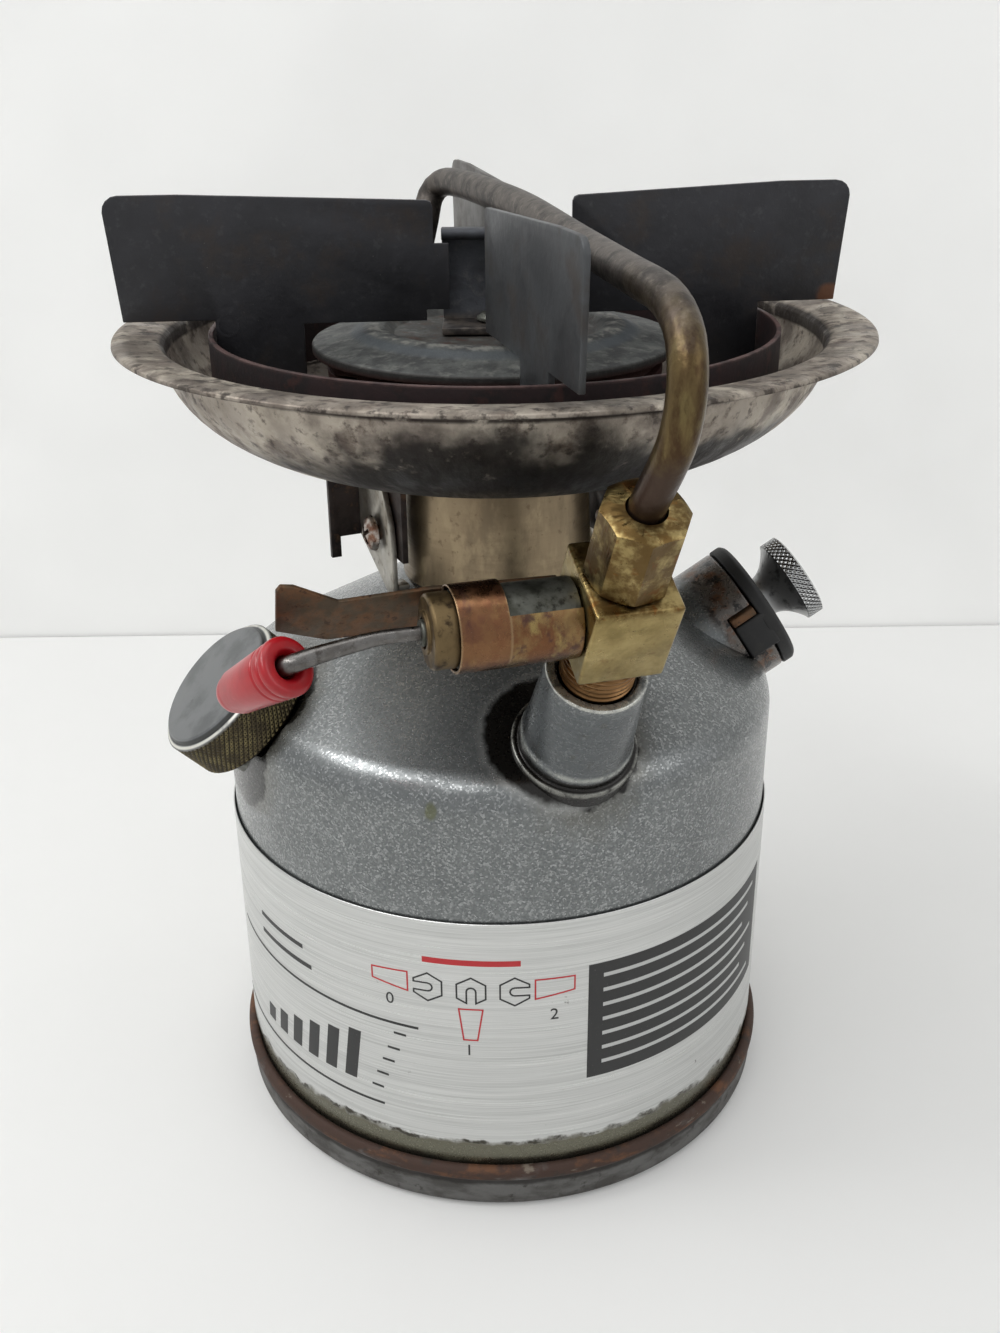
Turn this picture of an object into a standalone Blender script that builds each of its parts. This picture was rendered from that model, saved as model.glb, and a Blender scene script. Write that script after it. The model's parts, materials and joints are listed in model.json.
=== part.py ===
"""A single-burner camp stove with a pressure tank, built as separate pieces.

Lengths are metres. The stove stands on z = 0 with the tank on the Z axis, and its valve looks towards -Y.
"""
import math

import bmesh
import bpy
from mathutils import Matrix, Vector

mm = 0.001

# Fits and roundness that all pieces share
clearance = 0.3 * mm
overrun = 2.0 * mm
merge_gap = 0.01 * mm
marker_size = 10.0 * mm
large_steps = 40
medium_steps = 32
small_steps = 20
tab_steps = 4
path_spacing_share = 1.5

# Tank
tank_radius = 50.7 * mm
tank_wall = 0.8 * mm
shoulder_height = 84.3 * mm
shoulder_slope_share = 0.55
shoulder_round = 8.0 * mm
shoulder_round_steps = 6
crown_radius = 14.0 * mm

# Base cup that the tank stands in
base_recess = 1.0 * mm
base_plate = 0.9 * mm
base_wall = 1.4 * mm
base_lip_wall = 0.6 * mm
base_lip_height = 9.4 * mm
base_bead_drop = 1.2 * mm
base_chamfer = 1.3 * mm
base_foot_width = 2.0 * mm

# Label band round the tank
label_low = 13.6 * mm
label_height = 47.1 * mm
label_thickness = 0.25 * mm

# Valve: its axis leaves the shoulder square to the cone
valve_azimuth = math.radians(-74.0)
valve_inset = 7.8 * mm
boss_flange_radius = 10.3 * mm
boss_flange_height = 0.4 * mm
boss_depth = 5.5 * mm
boss_neck_radius = 9.0 * mm
boss_mouth_radius = 7.8 * mm
boss_height = 19.5 * mm
boss_tube_radius = 8.6 * mm
boss_mouth_bore = 7.0 * mm
boss_mouth_depth = 1.0 * mm
neck_radius = 5.5 * mm
neck_depth = 2.0 * mm
block_low = 26.0 * mm
block_height = 15.0 * mm
block_width = 13.0 * mm
block_depth = 14.0 * mm
block_bevel = 0.5 * mm
fuel_bore = 1.5 * mm
generator_neck_radius = 4.7 * mm
generator_neck_height = 9.5 * mm
tube_socket_depth = 6.5 * mm

# Pickup tube from the valve to the bottom of the tank
pickup_radius = 2.6 * mm
pickup_bore = 2.0 * mm
pickup_socket = 8.5 * mm
pickup_foot_gap = 8.0 * mm

# Lever, stem and packing, along the axis that leaves the block to the left
stem_share = 0.466
stem_radius = 1.9 * mm
stem_tail = 2.6 * mm
stem_end = 28.4 * mm
stem_socket_start = 20.0 * mm
housing_radius = 5.5 * mm
housing_length = 16.9 * mm
housing_spigot_radius = 3.6 * mm
housing_spigot_length = 3.5 * mm
packing_radius = 4.0 * mm
packing_length = 2.4 * mm
packing_nut_radius = 5.35 * mm
packing_nut_length = 3.5 * mm
packing_nut_chamfer = 0.4 * mm
packing_collar_radius = 3.1 * mm
packing_collar_length = 0.5 * mm
sleeve_gap = 0.3 * mm
sleeve_wall = 0.4 * mm
sleeve_band = 7.0 * mm
sleeve_overhang = 0.5 * mm
sleeve_cut_turn = math.radians(59.5)
rod_radius = 1.05 * mm
rod_swell_share = 1.3
rod_bend_start = 34.0 * mm
rod_bow_shares = ((0.4, 0.3), (0.75, 0.65))
grip_along = 46.3 * mm
grip_bow = 1.4 * mm
grip_drop = 1.6 * mm
grip_azimuth = math.radians(247.9)
grip_tilt = math.radians(59.7)
grip_length = 15.5 * mm
grip_radius = 4.25 * mm
grip_tip_radius = 3.0 * mm
grip_tip_steps = 4
grip_groove_place = 2.2 * mm
grip_groove_depth = 0.5 * mm
grip_mouth_radius = 2.6 * mm
grip_mouth_depth = 2.0 * mm
grip_bore = 1.9 * mm
grip_bore_depth = 7.0 * mm
stop_back = 6.55 * mm
stop_thickness = 0.7 * mm
stop_length = 40.0 * mm
stop_height = 12.5 * mm
stop_drop_share = 0.6

# Nut, tube and jet of the generator
nut_corner_radius = 6.2 * mm
nut_length = 12.7 * mm
nut_cap = 2.8 * mm
nut_turn = math.radians(-10.0)
nut_sides = 8
tube_radius = 2.55 * mm
tube_bore = 1.7 * mm
arch_height = 18.4 * mm
jet_azimuth = math.radians(111.5)
jet_height = 13.6 * mm
jet_body_radius = 3.2 * mm
jet_body_length = 2.4 * mm
jet_nozzle_radius = 2.2 * mm
jet_nozzle_length = 3.0 * mm
jet_bore = 0.5 * mm
needle_radius = 0.6 * mm
needle_foot_radius = 1.2 * mm
needle_foot_height = 1.0 * mm
needle_length = 13.5 * mm
needle_start = 4.0 * mm

# Filler on the left of the shoulder
filler_azimuth = math.radians(202.5)
filler_tilt = math.radians(43.3)
filler_inset = 3.6 * mm
filler_sink = 2.8 * mm
filler_seat_gap = 0.6 * mm
filler_seat_margin = 1.5 * mm
filler_neck_radius = 9.8 * mm
filler_neck_bore = 8.0 * mm
filler_neck_depth = 7.5 * mm
filler_neck_height = 6.1 * mm
filler_cap_radius = 13.0 * mm
filler_cap_length = 9.3 * mm
filler_cap_top = 1.4 * mm
filler_cap_chamfer = 1.1 * mm
filler_thread_gap = 0.4 * mm
gasket_thickness = 1.2 * mm

# Pump on the right of the shoulder
pump_azimuth = math.radians(10.7)
pump_tilt = math.radians(58.0)
pump_inset = 2.1 * mm
pump_stand = 5.25 * mm
collar_radius = 12.55 * mm
collar_depth = 15.0 * mm
barrel_radius = 9.5 * mm
barrel_bore = 8.7 * mm
barrel_length = 87.3 * mm
barrel_end = 2.0 * mm
notch_turn = math.radians(-99.0)
notch_width = 9.4 * mm
notch_depth = 5.2 * mm
notch_floor_radius = 9.2 * mm
pump_cap_radius = 12.7 * mm
pump_cap_thickness = 2.8 * mm
pump_cap_bevel = 0.8 * mm
pump_spigot_depth = 2.5 * mm
clip_width = 1.6 * mm
plunger_radius = 2.8 * mm
plunger_bore = 1.65 * mm
plunger_rest_gap = 3.0 * mm
knob_neck_radius = 3.9 * mm
knob_radius = 8.3 * mm
knob_length = 9.4 * mm
knob_rim = 2.8 * mm
knob_crown = 0.5 * mm
knob_socket_depth = 3.9 * mm
knob_face_share = 0.6
knob_neck_shares = (0.85, 0.65, 0.45, 0.25, 0.0)
knob_flare_share = 0.85
knob_flare_power = 2.2
cup_length = 7.0 * mm
cup_wall = 1.0 * mm
cup_plate = 1.5 * mm
stem_wire_radius = 1.3 * mm
stem_wire_depth = 10.0 * mm
stem_collar_radius = 2.2 * mm
stem_collar_length = 3.0 * mm
stem_point_length = 1.2 * mm
check_flange_radius = 4.5 * mm
check_flange_thickness = 1.4 * mm
check_body_length = 6.0 * mm
check_bore = 0.9 * mm

# Column and brackets between the tank and the pan
column_radius = 17.0 * mm
column_top_radius = 16.0 * mm
column_wall = 0.8 * mm
column_length = 21.6 * mm
bracket_azimuth = math.radians(-156.0)
bracket_distance = 20.0 * mm
bracket_plate = 1.0 * mm
ear_width = 16.2 * mm
ear_height = 23.0 * mm
ear_foot_reach = 2.1 * mm
ear_foot_width = 3.2 * mm
ear_back_share = 0.88
ear_screw_shares = (0.55, 0.44)
leg_low_share = 0.3
leg_overhang = 2.1 * mm
leg_wing_reach = 7.9 * mm
leg_toe_width = 1.8 * mm
leg_toe_drop = 3.9 * mm
bracket_screw_radius = 1.4 * mm
bracket_screw_head_radius = 2.6 * mm
bracket_screw_head_height = 1.5 * mm

# Pan, burner and windscreen ring
pan_radius = 63.1 * mm
pan_wall = 0.8 * mm
pan_depth = 21.6 * mm
pan_floor_radius = 19.0 * mm
pan_bowl_radius = 54.8 * mm
pan_flange_radius = 56.0 * mm
pan_bowl_drop = 1.8 * mm
pan_flange_drop = 0.5 * mm
pan_bowl_steps = 8
pan_hole_radius = 12.5 * mm
tube_hole_radius = 4.2 * mm
ring_radius = 47.7 * mm
ring_wall = 0.8 * mm
ring_drop = 0.3 * mm
burner_cup_radius = 28.0 * mm
burner_cup_floor_radius = 19.0 * mm
burner_cup_height = 10.0 * mm
burner_cup_wall = 0.9 * mm
burner_cup_hole = 12.0 * mm
spider_width = 5.0 * mm
spider_height = 1.9 * mm
flame_ring_radius = 28.5 * mm
flame_ring_bore = 21.0 * mm
flame_ring_thickness = 1.5 * mm
wave_height = 0.4 * mm
wave_count = 12
cap_radius = 30.9 * mm
cap_edge = 1.2 * mm
cap_bevel = 1.5 * mm
cap_ridge_radius = 20.5 * mm
cap_ridge_width = 2.0 * mm
cap_ridge_height = 3.6 * mm
cap_centre_height = 2.2 * mm
cap_plate = 1.2 * mm
cap_screw_radius = 1.9 * mm
cap_screw_head_radius = 3.0 * mm
cap_screw_head_height = 1.5 * mm

# Rest that holds the generator tube over the burner
rest_width = 17.5 * mm
rest_depth = 9.9 * mm
rest_front = 5.5 * mm
rest_plate = 1.0 * mm
rest_foot = 1.2 * mm
rest_lip = 3.2 * mm

# Vanes that carry the pot
vane_height = 21.0 * mm
vane_thickness = 1.0 * mm
vane_stand = 1.2 * mm
vane_flat = 12.0 * mm
vane_slope_drop = 1.5 * mm
vane_taper = 1.3 * mm
vane_corner = 2.5 * mm
vane_corner_steps = 4
vane_inner_corner = 1.0 * mm
inner_corner_share = 0.29
vane_tab_reach = 32.0 * mm
vane_tab_gap = 0.4 * mm
vane_cap_gap = 0.7 * mm

# Plan places of each vane's outer and inner end, as shares of the pan's radius
vane_ends_shares = {
    "vane_left": ((-0.991, -0.088), (-0.158, -0.022)),
    "vane_right": ((0.960, 0.151), (0.209, 0.067)),
    "vane_front": ((0.177, -0.957), (-0.017, -0.190)),
    "vane_back": ((-0.120, 0.967), (0.044, 0.333)),
}

# The left vane's inner end reaches on below its top, and its low edge rises there
vane_steps = {"vane_left": 2.5 * mm}
vane_step_drop = 8.3 * mm
vane_step_back = 1.4 * mm
vane_step_rise = 1.8 * mm

# The generator's arch: plan places as shares of the pan's radius, heights over the rim as shares of the arch
arch_shares = (
    (0.331, -1.110, -0.280),
    (0.346, -1.138, -0.060),
    (0.356, -1.143, 0.190),
    (0.359, -1.121, 0.420),
    (0.354, -1.068, 0.620),
    (0.331, -0.967, 0.761),
    (0.279, -0.777, 0.810),
    (0.198, -0.412, 0.859),
    (0.087, 0.016, 0.957),
    (-0.016, 0.349, 0.995),
    (-0.108, 0.618, 1.000),
    (-0.156, 0.717, 0.960),
    (-0.190, 0.737, 0.830),
    (-0.206, 0.703, 0.600),
    (-0.223, 0.655, 0.330),
    (-0.233, 0.600, -0.060),
    (-0.231, 0.575, -0.600),
    (-0.222, 0.552, -1.060),
    (-0.190, 0.485, -1.440),
)

# Side outline of the lever's stop, as shares of its length and height
stop_outline_shares = (
    (0.00, 0.00), (0.82, 0.00), (1.00, 0.26), (1.00, 0.92), (0.985, 1.00),
    (0.94, 0.97), (0.785, 0.635), (0.46, 0.68), (0.00, 0.62),
)

# Outline of a tank ear, as shares of its width and height
ear_outline_shares = (
    (0.00, 0.30), (0.85, 0.00), (1.00, 0.00), (1.00, 0.36),
    (0.96, 0.57), (0.76, 0.83), (0.51, 1.00), (0.00, 1.00),
)

finishes = {
    "tank_paint": ("7c8386", 0.35, 0.3),
    "base_steel": ("5f6365", 0.5, 0.4),
    "label_aluminium": ("c9cac8", 0.35, 0.9),
    "tarnished_brass": ("9f8449", 0.4, 0.9),
    "copper": ("99663a", 0.35, 0.9),
    "sooty_steel": ("5e5a52", 0.5, 0.8),
    "bright_steel": ("8a8a8a", 0.35, 0.9),
    "rust": ("5a4030", 0.8, 0.3),
    "black_plastic": ("1d1d1e", 0.5, 0.0),
    "red_plastic": ("d4202c", 0.3, 0.0),
    "cap_casting": ("7b7d7c", 0.45, 0.6),
    "leather": ("6b4a30", 0.8, 0.0),
    "rubber": ("2a2826", 0.7, 0.0),
    "pan_steel": ("8f8780", 0.4, 0.8),
    "column_steel": ("b5a488", 0.5, 0.7),
    "bracket_steel": ("2e2624", 0.6, 0.5),
    "ear_steel": ("a8a49c", 0.5, 0.7),
    "ring_steel": ("3a1f1e", 0.6, 0.4),
    "burner_steel": ("5d6162", 0.5, 0.6),
    "vane_steel": ("2a2b2f", 0.5, 0.4),
    "generator_brass": ("6b6462", 0.45, 0.7),
}


def clear_scene():
    """Start from an empty scene."""
    for thing in list(bpy.data.objects):
        bpy.data.objects.remove(thing, do_unlink=True)


def new_collection(name):
    collection = bpy.data.collections.new(name)
    bpy.context.scene.collection.children.link(collection)
    return collection


def linear(channel):
    """One sRGB channel as the linear value that a shader takes."""
    return channel / 12.92 if channel <= 0.04045 else ((channel + 0.055) / 1.055) ** 2.4


def make_material(name, finish):
    colour, roughness, metallic = finishes[finish]
    material = bpy.data.materials.new(name)
    material.use_nodes = True
    shader = material.node_tree.nodes["Principled BSDF"]
    channels = [linear(int(colour[i:i + 2], 16) / 255) for i in (0, 2, 4)]
    shader.inputs["Base Color"].default_value = (*channels, 1.0)
    shader.inputs["Roughness"].default_value = roughness
    shader.inputs["Metallic"].default_value = metallic
    return material


def add_piece(name, data, finish, carrier=None):
    """Put mesh or curve data in the stove, on the axis that carries it. Without a finish it is a cutter."""
    piece = bpy.data.objects.new(name, data)
    piece.parent = carrier
    if finish:
        data.materials.append(make_material(name, finish))
        parts.objects.link(piece)
    else:
        piece.hide_render = True
        piece.display_type = "WIRE"
        cutters.objects.link(piece)
    return piece


def axis(name, location=(0.0, 0.0, 0.0), tilt=0.0, azimuth=0.0, parent=None):
    """An empty whose Z leans by tilt towards azimuth."""
    empty = bpy.data.objects.new(name, None)
    empty.empty_display_size = marker_size
    empty.location = location
    empty.rotation_euler = (0.0, tilt, azimuth)
    empty.parent = parent
    parts.objects.link(empty)
    return empty


def turned(name, profile, finish=None, carrier=None, steps=small_steps, closed=False):
    """Sweep (radius, height) points round the carrier's Z. The outer side runs from top to bottom."""
    mesh = bpy.data.meshes.new(name)
    edges = [(i, i + 1) for i in range(len(profile) - 1)]
    if closed:
        edges.append((len(profile) - 1, 0))
    mesh.from_pydata([(radius, 0.0, height) for radius, height in profile], edges, [])
    piece = add_piece(name, mesh, finish, carrier)
    screw = piece.modifiers.new("turn", "SCREW")
    screw.steps = steps
    screw.render_steps = steps
    screw.use_merge_vertices = True
    screw.merge_threshold = merge_gap
    return piece


def ring(name, outer, inner, low, high, finish=None, carrier=None, steps=small_steps):
    """A plain turned ring with square edges."""
    profile = [(outer, high), (outer, low), (inner, low), (inner, high)]
    return turned(name, profile, finish, carrier, steps, closed=True)


def rod(name, radius, low, high, finish=None, carrier=None, steps=small_steps):
    """A plain round bar along the carrier's Z."""
    return turned(name, [(0.0, high), (radius, high), (radius, low), (0.0, low)], finish, carrier, steps)


def box(name, low, high, finish=None, carrier=None, bevel=0.0):
    """A block between two corners."""
    shape = bmesh.new()
    bmesh.ops.create_cube(shape, size=1.0)
    low, high = Vector(low), Vector(high)
    bmesh.ops.scale(shape, vec=high - low, verts=shape.verts)
    bmesh.ops.translate(shape, vec=(low + high) / 2, verts=shape.verts)
    mesh = bpy.data.meshes.new(name)
    shape.to_mesh(mesh)
    shape.free()
    piece = add_piece(name, mesh, finish, carrier)
    if bevel:
        rounding = piece.modifiers.new("edges", "BEVEL")
        rounding.width = bevel
        rounding.segments = 1
    return piece


def plate(name, outline, thickness, finish, carrier, location, rotation):
    """A flat sheet with the given outline, as a mesh."""
    curve = bpy.data.curves.new(name, "CURVE")
    curve.dimensions = "2D"
    curve.fill_mode = "BOTH"
    curve.extrude = thickness / 2
    spline = curve.splines.new("POLY")
    spline.points.add(len(outline) - 1)
    for point, (x, y) in zip(spline.points, outline):
        point.co = (x, y, 0.0, 1.0)
    spline.use_cyclic_u = True
    return as_mesh(name, curve, finish, carrier, location, rotation)


def tube(name, points, radius, finish=None, carrier=None, swell=None):
    """A round bar along the points, as a mesh. Swell holds one share of the radius for each point."""
    curve = bpy.data.curves.new(name, "CURVE")
    curve.dimensions = "3D"
    curve.bevel_depth = radius
    curve.bevel_resolution = 3
    curve.use_fill_caps = True
    spline = curve.splines.new("POLY")
    spline.points.add(len(points) - 1)
    for i, point in enumerate(points):
        spline.points[i].co = (*point, 1.0)
        spline.points[i].radius = swell[i] if swell else 1.0
    return as_mesh(name, curve, finish, carrier, (0.0, 0.0, 0.0), (0.0, 0.0, 0.0))


def as_mesh(name, curve, finish, carrier, location, rotation):
    """Turn a curve into a closed mesh piece at the curve's place."""
    guide = bpy.data.objects.new(name + "_curve", curve)
    guide.parent = carrier
    guide.location = location
    guide.rotation_euler = rotation
    cutters.objects.link(guide)
    bpy.context.view_layer.update()
    evaluated = guide.evaluated_get(bpy.context.evaluated_depsgraph_get())
    mesh = bpy.data.meshes.new_from_object(evaluated)
    shape = bmesh.new()
    shape.from_mesh(mesh)
    bmesh.ops.remove_doubles(shape, verts=shape.verts, dist=merge_gap)
    bmesh.ops.recalc_face_normals(shape, faces=shape.faces)
    shape.to_mesh(mesh)
    shape.free()
    piece = add_piece(name, mesh, finish, carrier)
    piece.matrix_world = guide.matrix_world
    bpy.data.objects.remove(guide, do_unlink=True)
    return piece


def combine(piece, other, operation):
    step = piece.modifiers.new(operation.lower(), "BOOLEAN")
    step.operation = operation
    step.solver = "EXACT"
    step.object = other


def cut(piece, *others):
    for other in others:
        combine(piece, other, "DIFFERENCE")


def join(piece, *others):
    for other in others:
        combine(piece, other, "UNION")


def smooth_path(points, spacing):
    """Points along a smooth curve through the given ones, about one spacing apart."""
    path = []
    for i in range(len(points) - 1):
        before = points[max(i - 1, 0)]
        start, end = points[i], points[i + 1]
        after = points[min(i + 2, len(points) - 1)]
        count = max(1, round((end - start).length / spacing))
        for k in range(count):
            t = k / count
            slope_term = (end - before) / 2
            square_term = before - 5 * start / 2 + 2 * end - after / 2
            cube_term = (after - before) / 2 + 3 * (start - end) / 2
            path.append(start + slope_term * t + square_term * t ** 2 + cube_term * t ** 3)
    path.append(points[-1])
    return path


def cone_height(radius):
    """Height of the tank's sloping top at a radius."""
    return shoulder_height + shoulder_slope_share * (tank_radius - radius)


def on_shoulder(azimuth, inset, rise):
    """A point above the sloping top, inset from the tank's side."""
    radius = tank_radius - inset
    return Vector((radius * math.cos(azimuth), radius * math.sin(azimuth), cone_height(radius) + rise))


def tank_outline(inset, bottom):
    """Half outline of the tank, moved inwards by inset and cut off flat at the bottom."""
    slope = math.atan(shoulder_slope_share)
    centre_radius = tank_radius - shoulder_round
    centre_height = cone_height(centre_radius) - shoulder_round / math.cos(slope)
    crown = cone_height(crown_radius) - inset / math.cos(slope)
    outline = [(0.0, crown), (crown_radius, crown)]
    for i in range(shoulder_round_steps + 1):
        angle = slope + (math.pi / 2 - slope) * i / shoulder_round_steps
        reach = shoulder_round - inset
        outline.append((centre_radius + reach * math.sin(angle), centre_height + reach * math.cos(angle)))
    return outline + [(tank_radius - inset, bottom), (0.0, bottom)]


def bowl_height(radius):
    """Height of the pan's inside at a radius."""
    if radius <= pan_floor_radius:
        return pan_floor
    share = (radius - pan_floor_radius) / (pan_bowl_radius - pan_floor_radius)
    depth = pan_depth - pan_bowl_drop
    return pan_floor + depth * (1.0 - math.sqrt(max(0.0, 1.0 - share ** 2)))


clear_scene()
parts = new_collection("camp_stove")
cutters = new_collection("cutters")

# Heights that follow from the sizes above
base_floor = base_recess + base_plate
shell_bottom = base_floor + clearance
base_inner = tank_radius + clearance
slope_angle = math.atan(shoulder_slope_share)
column_bottom = cone_height(column_radius - column_wall) + clearance
column_top = column_bottom + column_length
pan_floor = column_top + clearance + pan_wall
pan_rim = pan_floor + pan_depth
block_top = block_low + block_height
stem_place = block_top - stem_share * block_height - clearance

# Axes that carry the pieces
tank_axis = axis("tank_axis")
valve_axis = axis("valve_axis", on_shoulder(valve_azimuth, valve_inset, 0.0), slope_angle, valve_azimuth)
lever_axis = axis("lever_axis", (0.0, 0.0, stem_place), 0.0, 0.0, valve_axis)
lever_axis.rotation_euler = (math.pi / 2, 0.0, 0.0)
grip_place = Vector((grip_bow, -grip_drop, grip_along))
grip_axis = axis("grip_axis", grip_place, grip_tilt, grip_azimuth, lever_axis)
filler_place = on_shoulder(filler_azimuth, filler_inset, -filler_sink)
filler_axis = axis("filler_axis", filler_place, filler_tilt, filler_azimuth)
pump_place = on_shoulder(pump_azimuth, pump_inset, pump_stand)
pump_axis = axis("pump_axis", pump_place, pump_tilt, pump_azimuth)
notch_axis = axis("notch_axis", (0.0, 0.0, 0.0), 0.0, notch_turn, pump_axis)
bpy.context.view_layer.update()


def in_world(carrier, x, y, z):
    return carrier.matrix_world @ Vector((x, y, z))


def make_tank():
    """The pressed shell with its holes, the cup under it and the label band."""
    shell = turned("tank_shell", tank_outline(0.0, shell_bottom), "tank_paint", tank_axis, large_steps)
    seat_radius = filler_cap_radius + filler_seat_margin
    seat = rod("filler_seat", seat_radius, -filler_seat_gap, filler_cap_length + overrun, None, filler_axis,
               medium_steps)
    hollow = turned("tank_hollow", tank_outline(tank_wall, shell_bottom - overrun), None, tank_axis,
                    large_steps)
    inner_seat = rod("filler_inner_seat", seat_radius + tank_wall, -filler_seat_gap - tank_wall,
                     filler_cap_length + overrun, None, filler_axis, medium_steps)
    cut(hollow, inner_seat)
    valve_hole = rod("valve_hole", boss_tube_radius + clearance, -boss_depth - overrun, boss_height, None,
                     valve_axis, medium_steps)
    filler_hole = rod("filler_hole", filler_neck_radius + clearance, -filler_neck_depth - overrun,
                      filler_neck_height, None, filler_axis, medium_steps)
    pump_hole = rod("pump_hole", collar_radius + clearance, -collar_depth - overrun, overrun, None,
                    pump_axis, medium_steps)
    cut(shell, seat, hollow, valve_hole, filler_hole, pump_hole)

    outer = base_inner + base_wall
    profile = [
        (0.0, base_floor), (base_inner, base_floor), (base_inner, base_lip_height),
        (base_inner + base_lip_wall, base_lip_height), (outer, base_lip_height - base_bead_drop),
        (outer, base_chamfer), (outer - base_chamfer, 0.0), (outer - base_chamfer - base_foot_width, 0.0),
        (outer - base_chamfer - base_foot_width - base_recess, base_recess), (0.0, base_recess),
    ]
    turned("tank_base", profile, "base_steel", tank_axis, large_steps)
    ring("label_band", base_inner + label_thickness, base_inner, label_low, label_low + label_height,
         "label_aluminium", tank_axis, large_steps)


def make_valve():
    """The boss on the shoulder, the brass body in it and the pickup tube under it."""
    body_hole = neck_radius + clearance
    profile = [
        (boss_mouth_radius, boss_height), (boss_neck_radius, boss_flange_height),
        (boss_flange_radius, boss_flange_height), (boss_flange_radius, -boss_depth),
        (body_hole, -boss_depth),
        (body_hole, boss_height - boss_mouth_depth), (boss_mouth_bore, boss_height - boss_mouth_depth),
        (boss_mouth_bore, boss_height),
    ]
    boss = turned("valve_boss", profile, "tank_paint", valve_axis, medium_steps, closed=True)
    saddle = turned("valve_saddle", tank_outline(-clearance, shell_bottom), None, tank_axis, large_steps)
    cut(saddle, rod("saddle_hole", boss_tube_radius, -boss_depth - overrun, boss_height, None, valve_axis,
                    medium_steps))
    cut(boss, saddle)

    neck_top = block_top + generator_neck_height
    profile = [
        (0.0, neck_top), (generator_neck_radius, neck_top), (generator_neck_radius, block_top - overrun),
        (neck_radius, block_top - overrun), (neck_radius, -neck_depth), (0.0, -neck_depth),
    ]
    body = turned("valve_body", profile, "tarnished_brass", valve_axis, small_steps)
    block = box("valve_block", (-block_depth / 2, -block_width / 2, block_low),
                (block_depth / 2, block_width / 2, block_top), None, valve_axis, block_bevel)
    join(body, block)
    pickup_top = -neck_depth + pickup_socket
    socket = tube_radius + clearance
    profile = [
        (0.0, neck_top + overrun), (socket, neck_top + overrun), (socket, neck_top - tube_socket_depth),
        (fuel_bore, neck_top - tube_socket_depth), (fuel_bore, pickup_top),
        (pickup_radius + clearance, pickup_top),
        (pickup_radius + clearance, -neck_depth - overrun), (0.0, -neck_depth - overrun),
    ]
    passage = turned("fuel_passage", profile, None, valve_axis, small_steps)
    face = block_width / 2
    spigot_bore = housing_spigot_radius + clearance
    profile = [
        (0.0, face + overrun), (spigot_bore, face + overrun), (spigot_bore, face - housing_spigot_length),
        (stem_radius + clearance, face - housing_spigot_length),
        (stem_radius + clearance, -stem_tail - clearance),
        (0.0, -stem_tail - clearance),
    ]
    stem_bore = turned("stem_bore", profile, None, lever_axis, small_steps)
    cut(body, passage, stem_bore)

    foot = (valve_axis.location.z - base_floor - pickup_foot_gap) / math.cos(slope_angle)
    ring("fuel_pickup_tube", pickup_radius, pickup_bore, -foot, pickup_top - clearance, "tarnished_brass",
         valve_axis, small_steps)


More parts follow.
